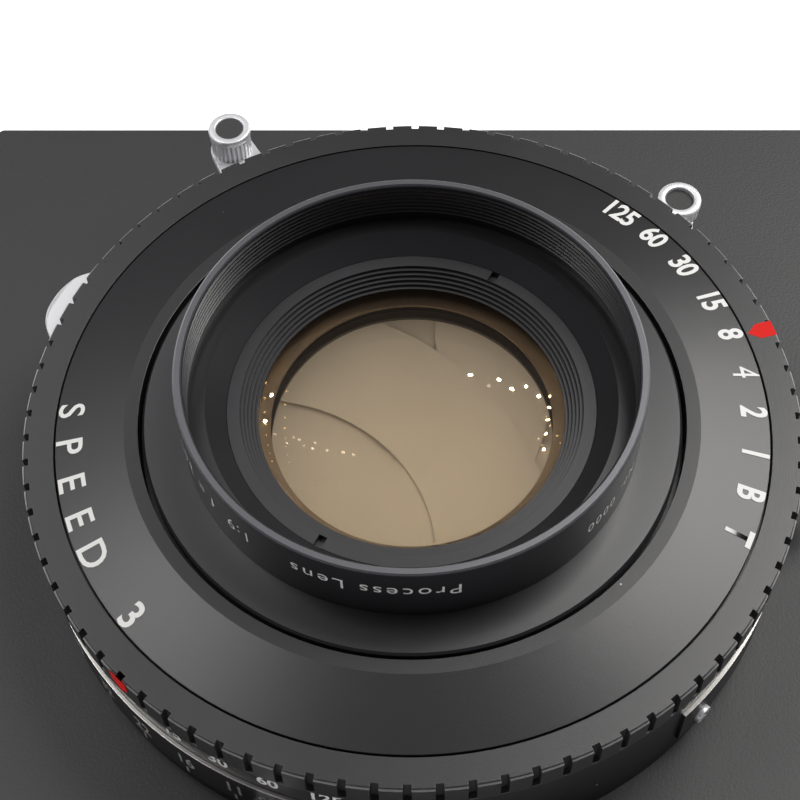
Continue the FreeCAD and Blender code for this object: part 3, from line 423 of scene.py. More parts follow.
class Coat(Enum):
    """The finishes of the lens, by the part of the object they dress."""

    BOARD = Finish("board_paint", (0.027, 0.027, 0.028), (0.034, 0.034, 0.035), 0.5, grain=0.35, tooth=0.035,
                   cloud=40.0, dusty=9.0)
    HOUSING = Finish("shutter_enamel", (0.012, 0.012, 0.013), (0.018, 0.018, 0.019), 0.42, grain=0.25,
                     tooth=0.012, dusty=8.0)
    RING = Finish("ring_anodising", (0.022, 0.022, 0.023), (0.030, 0.030, 0.031), 0.32, 0.04, grain=0.14,
                  tooth=0.01, rings=0.006, dusty=8.0,
                  bare=Band(40.72, 40.9, 50.6, 0.1, (0.2, 0.2, 0.2), 0.4, 0.5))
    FACE = Finish("face_enamel", (0.012, 0.012, 0.013), (0.017, 0.017, 0.018), 0.33, 0.03, specular=0.55,
                  grain=0.16, tooth=0.01, cloud=30.0, dusty=7.0)
    BARREL = Finish("barrel_anodising", (0.016, 0.016, 0.018), (0.023, 0.023, 0.025), 0.3, 0.05, specular=0.6,
                    grain=0.1, tooth=0.004, rings=0.006, ring_pitch=0.08, dusty=9.0,
                    bare=Band(53.2, 53.6, 28.0, 0.1, (0.13, 0.13, 0.14), 0.35, 0.6))
    REAR_BARREL = Finish("rear_anodising", (0.010, 0.010, 0.011), (0.016, 0.016, 0.017), 0.3, 0.05, grain=0.1,
                         tooth=0.004, rings=0.006, ring_pitch=0.08)
    KEEPER = Finish("keeper_anodising", (0.022, 0.022, 0.024), (0.032, 0.032, 0.035), 0.36, grain=0.12,
                    tooth=0.006, rings=0.008, ring_pitch=0.09)
    SPACER = Finish("spacer_anodising", (0.20, 0.155, 0.11), (0.26, 0.20, 0.145), 0.35, metallic=0.7,
                    grain=0.12, tooth=0.006, rings=0.008, ring_pitch=0.09)
    MATT = Finish("matt_blacking", (0.006, 0.006, 0.006), (0.010, 0.010, 0.010), 0.7, grain=0.2, tooth=0.02)
    SCALE = Finish("scale_plate_enamel", (0.012, 0.012, 0.013), (0.017, 0.017, 0.018), 0.38, grain=0.2,
                   tooth=0.008, bare=Band(30.38, 30.7, 49.0, 0.05, (0.66, 0.65, 0.62), 0.3, 1.0))
    SCREW = Finish("blackened_steel", (0.05, 0.05, 0.052), (0.11, 0.11, 0.11), 0.34, metallic=1.0, grain=0.2,
                   tooth=0.01)
    SATIN = Finish("satin_chrome", (0.74, 0.74, 0.76), (0.86, 0.86, 0.88), 0.33, 0.06, metallic=0.45,
                   grain=0.12, tooth=0.02, cloud=3.0)
    TAB = Finish("pressed_tab_plating", (0.66, 0.66, 0.67), (0.76, 0.76, 0.77), 0.4, 0.05, metallic=0.5,
                 grain=0.15, tooth=0.01, cloud=6.0)
    STEEL = Finish("plain_steel", (0.40, 0.40, 0.41), (0.52, 0.52, 0.53), 0.34, metallic=1.0, grain=0.2,
                   tooth=0.01, rings=0.006)
    BRASS = Finish("gear_brass", (0.62, 0.47, 0.20), (0.74, 0.58, 0.28), 0.3, metallic=1.0, grain=0.15,
                   tooth=0.01)
    BLADE = Finish("blade_lacquer", (0.50, 0.40, 0.285), (0.55, 0.445, 0.325), 0.5, 0.04, grain=0.2,
                   tooth=0.004, cloud=14.0)
    IRIS = Finish("iris_blueing", (0.03, 0.03, 0.033), (0.05, 0.05, 0.055), 0.45, metallic=0.6, grain=0.2,
                  tooth=0.004)
    INLAY = Finish("knob_inlay", (0.028, 0.028, 0.028), (0.045, 0.045, 0.045), 0.62, grain=0.25, tooth=0.05)
    WHITE = Finish("white_filling", (0.74, 0.74, 0.72), (0.82, 0.82, 0.80), 0.5, grain=0.2, tooth=0.01)
    GREY = Finish("worn_filling", (0.30, 0.30, 0.29), (0.55, 0.55, 0.53), 0.5, grain=0.2, tooth=0.01,
                  cloud=1.2)
    RED = Finish("red_filling", (0.66, 0.010, 0.008), (0.74, 0.016, 0.012), 0.5, specular=0.12, grain=0.2,
                 tooth=0.01)
    GLASS = CoatedGlass("coated_glass", (0.95, 0.93, 0.885))


class Dresser:
    """Makes each finish once and gives it to the pieces."""

    def __init__(self) -> None:
        """Builds the shared shader groups."""
        effects = Effects()
        self.effects = {"grain": effects.grain(), "turning": effects.turning(), "dust": effects.dust(),
                        "band": effects.band()}
        self.made: dict[Coat, bpy.types.Material] = {}

    def dress(self, piece: bpy.types.Object, coat: Coat) -> bpy.types.Object:
        """Gives a piece one finish all over.

        Args:
            piece: the object to dress.
            coat: its finish.

        Returns:
            The same object.
        """
        if coat not in self.made:
            self.made[coat] = coat.value.material(self.effects)
        piece.data.materials.clear()
        piece.data.materials.append(self.made[coat])
        return piece


# ------------------------------------------------------------------ modelling tools

def deselect() -> None:
    """Leaves nothing selected, so that an operator acts only on what comes next."""
    for item in bpy.context.view_layer.objects:
        item.select_set(False)


def activate(piece: bpy.types.Object) -> None:
    """Selects one object alone and makes it active.

    Args:
        piece: the object.
    """
    deselect()
    piece.select_set(True)
    bpy.context.view_layer.objects.active = piece


def edit(piece: bpy.types.Object, work: Callable[[], None]) -> None:
    """Runs operators on an object in edit mode.

    Args:
        piece: the object.
        work: a function that calls the operators.
    """
    activate(piece)
    bpy.ops.object.mode_set(mode="EDIT")
    work()
    bpy.ops.object.mode_set(mode="OBJECT")


def select_verts(piece: bpy.types.Object, chosen: Callable[[Vector], bool]) -> None:
    """Selects the vertices that a test picks by their place. The object is in edit mode.

    Args:
        piece: the object.
        chosen: the test, given a place in millimetres.
    """
    mesh = bmesh.from_edit_mesh(piece.data)
    bpy.ops.mesh.select_all(action="DESELECT")
    for vert in mesh.verts:
        vert.select = chosen(vert.co / MM)
    mesh.select_flush(True)
    bmesh.update_edit_mesh(piece.data)


def modify(piece: bpy.types.Object, kind: str, **settings: object) -> None:
    """Adds a modifier and applies it.

    Args:
        piece: the object.
        kind: the modifier's type.
        settings: its properties.
    """
    activate(piece)
    modifier = piece.modifiers.new(kind.lower(), kind)
    for name, value in settings.items():
        setattr(modifier, name, value)
    bpy.ops.object.modifier_apply(modifier=modifier.name)


def smooth(piece: bpy.types.Object, degrees: float = 30.0) -> None:
    """Shades an object smooth, with edges sharper than an angle left crisp.

    Args:
        piece: the object.
        degrees: the angle.
    """
    activate(piece)
    bpy.ops.object.shade_smooth_by_angle(angle=math.radians(degrees))


def settle(piece: bpy.types.Object) -> bpy.types.Object:
    """Moves an object's place into its mesh.

    Args:
        piece: the object.

    Returns:
        The same object.
    """
    activate(piece)
    bpy.ops.object.transform_apply(location=True, rotation=True, scale=True)
    return piece


def joined(pieces: Sequence[bpy.types.Object], name: str) -> bpy.types.Object:
    """Joins several objects into one.

    Args:
        pieces: the objects, the first of which stays.
        name: the joined object's name.

    Returns:
        The joined object.
    """
    deselect()
    for piece in pieces:
        piece.select_set(True)
    bpy.context.view_layer.objects.active = pieces[0]
    if len(pieces) > 1:
        bpy.ops.object.join()
    pieces[0].name = name
    pieces[0].data.name = name
    return pieces[0]


def at(reach: float, azimuth: float, level: float) -> Vector:
    """A point by its radius, azimuth in degrees and level.

    Args:
        reach: distance from the optical axis.
        azimuth: angle about it from +X.
        level: height along it.

    Returns:
        The point, in the units of its sizes.
    """
    angle = math.radians(azimuth)
    return Vector((reach * math.cos(angle), reach * math.sin(angle), level))


@dataclass
class Workshop:
    """What every sub-assembly is built with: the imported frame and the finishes."""

    frame: dict
    dresser: Dresser
    finished: set[str] = field(default_factory=set)

    def place_in(self, node: str) -> str:
        """Name of the body that holds a node."""
        bodies = self.frame["record"]["behaviour"]["bodies"]
        return next(body for body, nodes in bodies.items() if node in nodes)

    def slot_of(self, node: str) -> str:
        """Name of a node's material slot."""
        subparts = self.frame["record"]["subparts"]
        return next(part["material_slot"] for part in subparts if part["node"] == node)

    def paint(self, coat: Coat, *nodes: str) -> None:
        """Dresses nodes that keep their own mesh.

        Args:
            coat: the finish.
            nodes: the nodes' names.
        """
        for node in nodes:
            self.dresser.dress(self.frame["nodes"][node], coat)
            self.finished.add(node)

    def eased(self, node: str, coat: Coat, bevel: float, segments: int = 2,
              crease: float = 30.0, blend: float = 28.0) -> bpy.types.Object:
        """A copy of a node with its edges rounded over, which stands for it.

        Args:
            node: the node's name.
            coat: the finish.
            bevel: width of the rounded edge, in millimetres.
            segments: faces across the rounding.
            crease: angle, in degrees, from which an edge is rounded.
            blend: angle, in degrees, up to which faces shade into each other.

        Returns:
            The new piece.
        """
        source = self.frame["nodes"][node]
        deselect()
        piece = bpy.data.objects.new(node + "_finished", source.data.copy())
        bpy.context.scene.collection.objects.link(piece)

        def clean() -> None:
            """Welds the loose triangles and merges the flat ones."""
            bpy.ops.mesh.select_all(action="SELECT")
            bpy.ops.mesh.remove_doubles(threshold=WELD)
            bpy.ops.mesh.dissolve_limited(angle_limit=math.radians(FLAT_ANGLE))

        edit(piece, clean)
        if piece.data.has_custom_normals:
            bpy.ops.mesh.customdata_custom_splitnormals_clear()
        if bevel > 0:
            modify(piece, "BEVEL", width=bevel * MM, segments=segments, limit_method="ANGLE",
                   angle_limit=math.radians(crease), use_clamp_overlap=True)
        smooth(piece, blend)
        modify(piece, "WEIGHTED_NORMAL", keep_sharp=True)
        return self.finish_piece(piece, coat, self.place_in(node), self.slot_of(node), node)

    def finish_piece(self, piece: bpy.types.Object, coat: Coat, body: str, slot: str,
                     *stands_for: str) -> bpy.types.Object:
        """Dresses a new piece and hangs it on its body.

        Args:
            piece: the object.
            coat: its finish.
            body: the body it moves with.
            slot: the record's material slot; not used.
            stands_for: nodes that it replaces.

        Returns:
            The same object.
        """
        self.dresser.dress(piece, coat)
        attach(piece, body)
        if stands_for:
            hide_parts(*stands_for)
            self.finished.update(stands_for)
        log.info("%s: %d faces on %s", piece.name, len(piece.data.polygons), body)
        return piece


# ------------------------------------------------------------------ lettering

class Side(Enum):
    """Which way the tops of letters point."""

    OUT = 1
    IN = -1
    UP = 2
    DOWN = -2


@dataclass
class Word:
    """Figures or letters that are filled into a turned surface."""

    text: str
    azimuth: float
    height: float
    width: float = 1.0
    spread: float = 1.0
    bold: float = 0.0
    length: float = 0.0

    def flat(self) -> bpy.types.Object:
        """The word as a flat mesh, its middle at the origin and its height as wanted.

        Returns:
            The mesh object, in millimetres scaled to metres.
        """
        deselect()
        bpy.ops.object.text_add()
        item = bpy.context.object
        item.data.body = self.text
        item.data.align_x = "CENTER"
        item.data.offset = self.bold
        item.data.space_character = self.spread
        item.data.resolution_u = CURVE_STEPS
        activate(item)
        bpy.ops.object.convert(target="MESH")
        item = bpy.context.object
        tall = [vert.co.y for vert in item.data.vertices]
        wide = [vert.co.x for vert in item.data.vertices]
        middle, grow = (max(tall) + min(tall)) / 2, self.height * MM / (max(tall) - min(tall))
        stretch = self.length * MM / (max(wide) - min(wide)) if self.length else grow * self.width

        def fit() -> None:
            """Centres the word and gives it its size."""
            bpy.ops.mesh.select_all(action="SELECT")
            bpy.ops.transform.translate(value=(0, -middle, 0))
            bpy.ops.transform.resize(value=(stretch, grow, grow), center_override=(0, 0, 0))

        edit(item, fit)
        return item


@dataclass
class Lettering:
    """A set of words wrapped on one surface round the optical axis."""

    name: str
    words: Sequence[Word]
    side: Side
    reach: float
    level_at: Callable[[float], float]
    proud: float = 0.06

    def wrap(self, item: bpy.types.Object, azimuth: float) -> None:
        """Bends a flat word round the axis.

        Args:
            item: the flat word.
            azimuth: where its middle goes.
        """
        outward = self.side.value > 0
        for vert in item.data.vertices:
            x, y = vert.co.x / MM, vert.co.y / MM
            if self.side in (Side.OUT, Side.IN):
                radius = self.reach + (y if outward else -y)
                turn = math.degrees(x / self.reach) * (-1 if outward else 1)
                vert.co = at(radius, azimuth + turn, self.level_at(radius) + self.proud) * MM
            else:
                turn = math.degrees(x / self.reach) * (1 if outward else -1)
                level = self.level_at(0.0) + (y if outward else -y)
                vert.co = at(self.reach + self.proud, azimuth + turn, level) * MM

    def build(self, shop: Workshop, coat: Coat, body: str, slot: str) -> bpy.types.Object:
        """Makes every word and joins them.

        Args:
            shop: the workshop.
            coat: the filling.
            body: the body that carries the words.
            slot: the record's material slot.

        Returns:
            The joined piece.
        """
        items = []
        for word in self.words:
            item = word.flat()
            self.wrap(item, word.azimuth)
            items.append(item)
        return shop.finish_piece(joined(items, self.name), coat, body, slot)


def tick_marks(name: str, azimuths: Sequence[float], reach: float, low: float, high: float,
               width: float) -> bpy.types.Object:
    """Short upright lines on a cylinder.

    Args:
        name: the piece's name.
        azimuths: where the lines stand.
        reach: the cylinder's radius.
        low: lower end of the lines.
        high: upper end.
        width: their width.

    Returns:
        The joined piece.
    """
    items = []
    for azimuth in azimuths:
        deselect()
        bpy.ops.mesh.primitive_plane_add(size=1.0)
        item = bpy.context.object
        for vert in item.data.vertices:
            turn = math.degrees(vert.co.x * width / reach)
            vert.co = at(reach, azimuth + turn, (low + high) / 2 + vert.co.y * (high - low)) * MM
        items.append(item)
    return joined(items, name)


# ------------------------------------------------------------------ sub-assemblies

@dataclass
class LensBoardSet:
    """The flat board, its lock ring and the pin between board and shutter."""

    edge: float = 0.22
    ring_edge: float = 0.15

    def build(self, shop: Workshop) -> None:
        """Rounds the board's edges and dresses the set.

        Args:
            shop: the workshop.
        """
        shop.eased("lens_board", Coat.BOARD, self.edge)
        shop.eased("board_lock_ring", Coat.HOUSING, self.ring_edge)
        shop.paint(Coat.STEEL, "board_index_pin")


@dataclass
class ShutterBody:
    """Housing, scale plates, screws and side sockets, with their figures."""

    wall: float = 50.3
    plate: float = 50.8
    widest_stop: float = 249.5
    second_stop: float = 244.9
    stop_step: float = 8.25
    body_edge: float = 0.1
    plate_edge: float = 0.06
    socket_edge: float = 0.15
    contact_edge: float = 0.12
    stop_level: float = 27.2
    line_foot: float = 23.4
    line_top: float = 25.2
    line_width: float = 0.4
    speed_level: float = 33.5
    filling: float = 0.04
    speed_filling: float = 0.05

    def build(self, shop: Workshop) -> None:
        """Builds and dresses the body.

        Args:
            shop: the workshop.
        """
        shop.eased("shutter_housing", Coat.HOUSING, self.body_edge)
        shop.eased("ring_carrier", Coat.HOUSING, self.plate_edge)
        shop.eased("aperture_scale_plate", Coat.SCALE, self.plate_edge)
        shop.eased("side_cover_plate", Coat.SCALE, self.plate_edge)
        shop.eased("side_plate_screws", Coat.SATIN, self.body_edge)
        shop.eased("cable_release_socket", Coat.SATIN, self.socket_edge)
        shop.eased("flash_contact_shell", Coat.SCREW, self.contact_edge)
        shop.paint(Coat.BRASS, "flash_contact_pin")
        self.aperture_scale(shop)
        self.side_speeds(shop)

    def aperture_scale(self, shop: Workshop) -> None:
        """Stop figures and their lines on the curved plate.

        Args:
            shop: the workshop.
        """
        stops = ("9", "11", "16", "22", "32", "45", "64", "90")
        places = [self.widest_stop] + [self.second_stop - self.stop_step * n for n in range(len(stops) - 1)]
        words = [Word(stop, place, height=3.0, width=0.72, bold=0.02) for stop, place in zip(stops, places)]
        figures = Lettering("aperture_figures", words, Side.UP, self.plate, lambda _: self.stop_level,
                            self.filling)
        figures.build(shop, Coat.GREY, FIXED, FIGURES)
        lines = tick_marks("aperture_lines", places, self.plate + self.filling, self.line_foot, self.line_top,
                           self.line_width)
        shop.finish_piece(lines, Coat.GREY, FIXED, FIGURES)

    def side_speeds(self, shop: Workshop) -> None:
        """Speed figures on the wall under the ring.

        Args:
            shop: the workshop.
        """
        speeds = (("8", 227.0), ("15", 235.0), ("30", 242.7), ("60", 250.4), ("125", 258.7))
        words = [Word(text, azimuth, height=2.6, width=0.85, bold=0.025) for text, azimuth in speeds]
        figures = Lettering("side_speed_figures", words, Side.UP, self.wall, lambda _: self.speed_level,
                            self.speed_filling)
        figures.build(shop, Coat.WHITE, FIXED, FIGURES)


@dataclass
class SpeedRing:
    """The notched ring with its two red index marks."""

    outer: float = 51.0
    top: float = 41.0
    index_azimuth: float = 16.1
    side_azimuth: float = 227.0
    edge: float = 0.07
    inset: float = 0.08
    proud: float = 0.02
    side_proud: float = 0.06

    def build(self, shop: Workshop) -> None:
        """Builds and dresses the ring.

        Args:
            shop: the workshop.
        """
        shop.eased("speed_ring", Coat.RING, self.edge)
        shop.paint(Coat.STEEL, "speed_cam")
        mark = self.pentagon("index_mark", width=2.4, shoulder=2.2, length=3.75)
        for vert in mark.data.vertices:
            along, across = vert.co.x / MM, vert.co.y / MM
            reach = self.outer - self.inset - along
            turn = math.degrees(across / reach)
            vert.co = at(reach, self.index_azimuth + turn, self.top + self.proud) * MM
        side = self.pentagon("side_index_mark", width=2.9, shoulder=2.3, length=3.7)
        for vert in side.data.vertices:
            along, across = vert.co.x / MM, vert.co.y / MM
            turn, level = math.degrees(across / self.outer), self.top - self.side_proud - along
            vert.co = at(self.outer + self.side_proud, self.side_azimuth + turn, level) * MM
        for piece in (mark, side):
            shop.finish_piece(piece, Coat.RED, "speed_ring", "index_red")

    def pentagon(self, name: str, width: float, shoulder: float, length: float) -> bpy.types.Object:
        """A flat pointed mark, its straight end on the origin and its point along +X.

        Args:
            name: the piece's name.
            width: across its straight sides.
            shoulder: length of the straight sides.
            length: whole length.

        Returns:
            The flat mark.
        """
        deselect()
        bpy.ops.mesh.primitive_plane_add(size=width * MM)
        mark = bpy.context.object
        mark.name = name
        mark.data.name = name

        def shape() -> None:
            """Moves the end to its shoulder and draws out the point."""
            bpy.ops.transform.translate(value=(width / 2 * MM, 0, 0))
            select_verts(mark, lambda place: place.x > width / 2)
            bpy.ops.transform.translate(value=((shoulder - width) * MM, 0, 0))
            bpy.ops.mesh.extrude_region_move(
                TRANSFORM_OT_translate={"value": ((length - shoulder) * MM, 0, 0)})
            bpy.ops.mesh.merge(type="CENTER")

        edit(mark, shape)
        modify(mark, "TRIANGULATE")
        return mark


@dataclass
class FacePlate:
    """The conical face plate with its speed figures and plain words."""

    rim: float = 46.7
    land: float = 37.5
    base: float = 41.0
    rise: float = 2.0
    edge: float = 0.06
    crisp: float = 10.0
    figure_reach: float = 44.75
    word_start: float = 179.9
    letter_step: float = 7.06
    number_azimuth: float = 221.1

    def level(self, reach: float) -> float:
        """Level of the cone at a radius."""
        return self.base + (self.rim - reach) / (self.rim - self.land) * self.rise

    def build(self, shop: Workshop) -> None:
        """Builds and dresses the plate.

        Args:
            shop: the workshop.
        """
        shop.eased("face_plate", Coat.FACE, self.edge, blend=self.crisp)
        shop.paint(Coat.STEEL, "face_plate_nut")
        speeds = (("T", -23.6), ("B", -15.6), ("1", -7.9), ("2", 0.25), ("4", 8.3), ("8", 16.5), ("15", 24.2),
                  ("30", 32.9), ("60", 41.0), ("125", 49.0))
        words = [Word(text, azimuth, height=3.7, width=0.74, spread=0.95, bold=0.0 if text == "4" else 0.028)
                 for text, azimuth in speeds]
        Lettering("speed_figures", words, Side.OUT, self.figure_reach, self.level).build(
            shop, Coat.WHITE, FIXED, FIGURES)
        letters = [Word(letter, self.word_start + self.letter_step * n, height=3.6, bold=0.012)
                   for n, letter in enumerate("SPEED")]
        letters.append(Word("3", self.number_azimuth, height=3.7, width=0.95, bold=0.02))
        Lettering("face_word", letters, Side.IN, self.figure_reach, self.level).build(
            shop, Coat.WHITE, FIXED, FIGURES)


@dataclass
class LensElement:
    """One glass with a spherical front and back, turned about the optical axis."""

    name: str
    node: str
    radius: float
    front_curve: float
    back_curve: float
    segments: int = 128
    rings: int = 14
    weld: float = 1e-7

    def build(self, shop: Workshop) -> bpy.types.Object:
        """Turns the glass inside the box of the node it stands for.

        Args:
            shop: the workshop.

        Returns:
            The glass.
        """
        low, high = (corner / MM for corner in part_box(self.node))
        top, bottom = self.surface(self.front_curve), self.surface(self.back_curve)
        top_vertex = high.z if self.front_curve > 0 else high.z - abs(top[-1][1])
        bottom_vertex = low.z if self.back_curve > 0 else low.z + abs(bottom[-1][1])
        path = [(reach, top_vertex + fall) for reach, fall in top]
        path += [(reach, bottom_vertex - fall) for reach, fall in reversed(bottom)]
        return shop.finish_piece(self.turn(path), Coat.GLASS, shop.place_in(self.node), "coated_glass",
                                 self.node)

    def surface(self, curve: float) -> list[tuple[float, float]]:
        """Points of a spherical surface from near its vertex to the rim.

        Args:
            curve: its radius, negative where it is hollow.

        Returns:
            Radius and level against the vertex, falling for a raised surface.
        """
        points = []
        for n in range(1, self.rings + 1):
            reach = self.radius * n / self.rings
            fall = abs(curve) - math.sqrt(curve ** 2 - reach ** 2)
            points.append((reach, -fall if curve > 0 else fall))
        return points

    def turn(self, path: Sequence[tuple[float, float]]) -> bpy.types.Object:
        """Extrudes a circle ring by ring along a profile and closes both poles.

        Args:
            path: radii and levels from the front pole to the back pole.

        Returns:
            The closed solid.
        """
        deselect()
        reach, level = path[0]
        bpy.ops.mesh.primitive_circle_add(vertices=self.segments, radius=reach * MM, fill_type="TRIFAN",
                                          location=(0, 0, 0))
        piece = bpy.context.object
        piece.name = self.name
        piece.data.name = self.name

        def shape() -> None:
            """Extrudes the rim along the profile and closes the back."""
            bpy.ops.transform.translate(value=(0, 0, level * MM))
            select_verts(piece, lambda place: math.hypot(place.x, place.y) > reach * 0.5)
            bpy.ops.mesh.region_to_loop()
            last = (reach, level)
            for radius, height in path[1:]:
                rise = (height - last[1]) * MM
                bpy.ops.mesh.extrude_edges_move(TRANSFORM_OT_translate={"value": (0, 0, rise)})
                grow = radius / last[0]
                bpy.ops.transform.resize(value=(grow, grow, 1), center_override=(0, 0, height * MM))
                last = (radius, height)
            bpy.ops.mesh.edge_face_add()
            bpy.ops.mesh.select_all(action="SELECT")
            bpy.ops.mesh.remove_doubles(threshold=self.weld)
            bpy.ops.mesh.normals_make_consistent(inside=False)

        edit(piece, shape)
        smooth(piece, TURNED_BLEND)
        return piece


@dataclass
class LensCells:
    """Front and rear cells: barrels, keepers, spacers and glasses."""

    barrel: float = 29.85
    keeper_edge: float = 0.03
    outer_radius: float = 22.0
    outer_curves: tuple = (85.0, 260.0)
    inner_radius: float = 19.0
    inner_curves: tuple = (-150.0, -110.0)
    name_level: float = 49.1
    number_level: float = 47.6
    filling: float = 0.04

    def build(self, shop: Workshop) -> None:
        """Builds and dresses both cells.

        Args:
            shop: the workshop.
        """
        shop.eased("front_barrel", Coat.BARREL, 0.0)
        shop.eased("rear_barrel", Coat.REAR_BARREL, 0.0)
        shop.eased("front_keeper", Coat.KEEPER, self.keeper_edge, segments=1)
        shop.eased("rear_keeper", Coat.KEEPER, self.keeper_edge, segments=1)
        shop.paint(Coat.SPACER, "front_spacer", "rear_spacer")
        for name, node, radius, curves in (
                ("front_glass", "front_outer_glass", self.outer_radius, self.outer_curves),
                ("rear_glass", "rear_outer_glass", self.outer_radius, reversed(self.outer_curves)),
                ("front_second_glass", "front_inner_glass", self.inner_radius, self.inner_curves),
                ("rear_second_glass", "rear_inner_glass", self.inner_radius, reversed(self.inner_curves))):
            LensElement(name, node, radius, *curves).build(shop)
        self.lettering(shop)

    def lettering(self, shop: Workshop) -> None:
        """Plain data engraved round the barrel, read from the other side.

        Args:
            shop: the workshop.
        """
        words = [Word("Process Lens", 262.2, height=2.2, spread=1.25, length=20.8),
                 Word("1:9  f = 360 mm", 208.0, height=2.2, spread=1.2, length=23.0)]
        names = Lettering("barrel_lettering", words, Side.DOWN, self.barrel, lambda _: self.name_level,
                          self.filling)
        names.build(shop, Coat.WHITE, FIXED, FIGURES)
        number = [Word("No. 0000", 327.0, height=1.8, spread=1.25, length=11.0)]
        serial = Lettering("barrel_number", number, Side.DOWN, self.barrel, lambda _: self.number_level,
                           self.filling)
        serial.build(shop, Coat.WHITE, FIXED, FIGURES)


@dataclass
class FingerKnob:
    """A knob with a straight-knurled skirt and a smooth ringed head."""

    node: str
    radius: float
    head: float
    hollow: float
    inlay: float = 2.06
    teeth: int = 26
    knurl: float = 0.12
    groove_share: float = 0.2
    groove_scale: float = 0.9
    rounding: float = 0.22
    sides: int = 72
    facing_up: float = 0.9
    sharp: float = 50.0

    def build(self, shop: Workshop) -> bpy.types.Object:
        """Builds the knob on the axis of the node it stands for.

        Args:
            shop: the workshop.

        Returns:
            The knob.
        """
        low, high = (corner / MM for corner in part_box(self.node))
        centre = (low + high) / 2
        skirt = self.skirt(centre, low.z, high.z - self.head)
        head = self.crown(centre, high.z - self.head, high.z)
        piece = joined([skirt, head], self.node + "_knurled")
        smooth(piece, TURNED_BLEND)
        return shop.finish_piece(piece, Coat.SATIN, shop.place_in(self.node), shop.slot_of(self.node),
                                 self.node)

    def skirt(self, centre: Vector, low: float, high: float) -> bpy.types.Object:
        """The knurled part under the head.

        Args:
            centre: the knob's middle, in millimetres.
            low: its foot.
            high: its top.

        Returns:
            The skirt.
        """
        deselect()
        radius = self.radius - self.knurl
        middle = Vector((centre.x, centre.y, (low + high) / 2)) * MM
        bpy.ops.mesh.primitive_cylinder_add(vertices=self.teeth * 4, radius=radius * MM,
                                            depth=(high - low) * MM, location=middle)
        piece = settle(bpy.context.object)
        step = 360 / self.teeth

        def cut() -> None:
            """Draws the grooves of the knurl in towards the axis."""
            def in_groove(place: Vector) -> bool:
                """Whether a place is in a groove."""
                turn = math.degrees(math.atan2(place.y - centre.y, place.x - centre.x)) % step
                return min(turn, step - turn) < step * self.groove_share
            select_verts(piece, in_groove)
            bpy.ops.transform.resize(value=(self.groove_scale, self.groove_scale, 1),
                                     center_override=(centre.x * MM, centre.y * MM, 0))

        edit(piece, cut)
        return piece

    def crown(self, centre: Vector, low: float, high: float) -> bpy.types.Object:
        """The smooth head with its round recess.

        Args:
            centre: the knob's middle, in millimetres.
            low: the head's underside.
            high: its top.

        Returns:
            The head.
        """
        deselect()
        middle = Vector((centre.x, centre.y, (low + high) / 2)) * MM
        bpy.ops.mesh.primitive_cylinder_add(vertices=self.sides, radius=self.radius * MM,
                                            depth=(high - low) * MM, location=middle)
        piece = settle(bpy.context.object)

        def cut() -> None:
            """Sinks the recess into the top."""
            mesh = bmesh.from_edit_mesh(piece.data)
            bpy.ops.mesh.select_all(action="DESELECT")
            for face in mesh.faces:
                face.select = face.normal.z > self.facing_up
            bmesh.update_edit_mesh(piece.data)
            bpy.ops.mesh.inset(thickness=(self.radius - self.inlay) * MM)
            bpy.ops.mesh.extrude_region_move(TRANSFORM_OT_translate={"value": (0, 0, -self.hollow * MM)})

        edit(piece, cut)
        modify(piece, "BEVEL", width=self.rounding * MM, segments=3, limit_method="ANGLE",
               angle_limit=math.radians(self.sharp))
        return piece


@dataclass
class Levers:
    """Cocking, release and press-focus levers and the aperture pointer."""

    knob: float = 3.15
    knob_head: float = 1.1
    arm_edge: float = 0.12
    pad_edge: float = 0.3
    tab_edge: float = 0.15
    inlay_edge: float = 0.05

    def build(self, shop: Workshop) -> None:
        """Builds and dresses the levers.

        Args:
            shop: the workshop.
        """
        shop.eased("cocking_lever", Coat.SATIN, self.arm_edge)
        shop.eased("release_lever", Coat.SATIN, self.arm_edge)
        shop.eased("press_focus_lever", Coat.TAB, self.pad_edge, segments=3, crease=40.0)
        shop.eased("aperture_pointer", Coat.SATIN, self.tab_edge)
        FingerKnob("cocking_knob", self.knob, self.knob_head, hollow=0.5).build(shop)
        FingerKnob("release_knob", self.knob, self.knob_head, hollow=0.9).build(shop)
        shop.eased("cocking_knob_inlay", Coat.INLAY, self.inlay_edge)
        shop.eased("release_knob_inlay", Coat.INLAY, self.inlay_edge)


@dataclass
class Works:
    """What works inside the shutter: blades, rings, gears, studs and springs."""

    leaves: int = 5
    irises: int = 7

    def build(self, shop: Workshop) -> None:
        """Dresses every inner node.

        Args:
            shop: the workshop.
        """
        shop.paint(Coat.BLADE, *(f"shutter_blade_{n + 1}" for n in range(self.leaves)))
        shop.paint(Coat.IRIS, *(f"iris_blade_{n + 1}" for n in range(self.irises)))
        shop.paint(Coat.STEEL, "iris_ring", "sector_ring", "cocking_ring", "press_focus_ring",
                   "mechanism_plate", "plate_snap_ring", "shutter_blade_pivots", "release_stud",
                   "release_spring", "retard_pallet", "gear_posts", "carrier_screws")
        shop.paint(Coat.BRASS, "retard_gear", "escape_wheel")
        shop.paint(Coat.MATT, "blade_divider")


# ------------------------------------------------------------------ studio

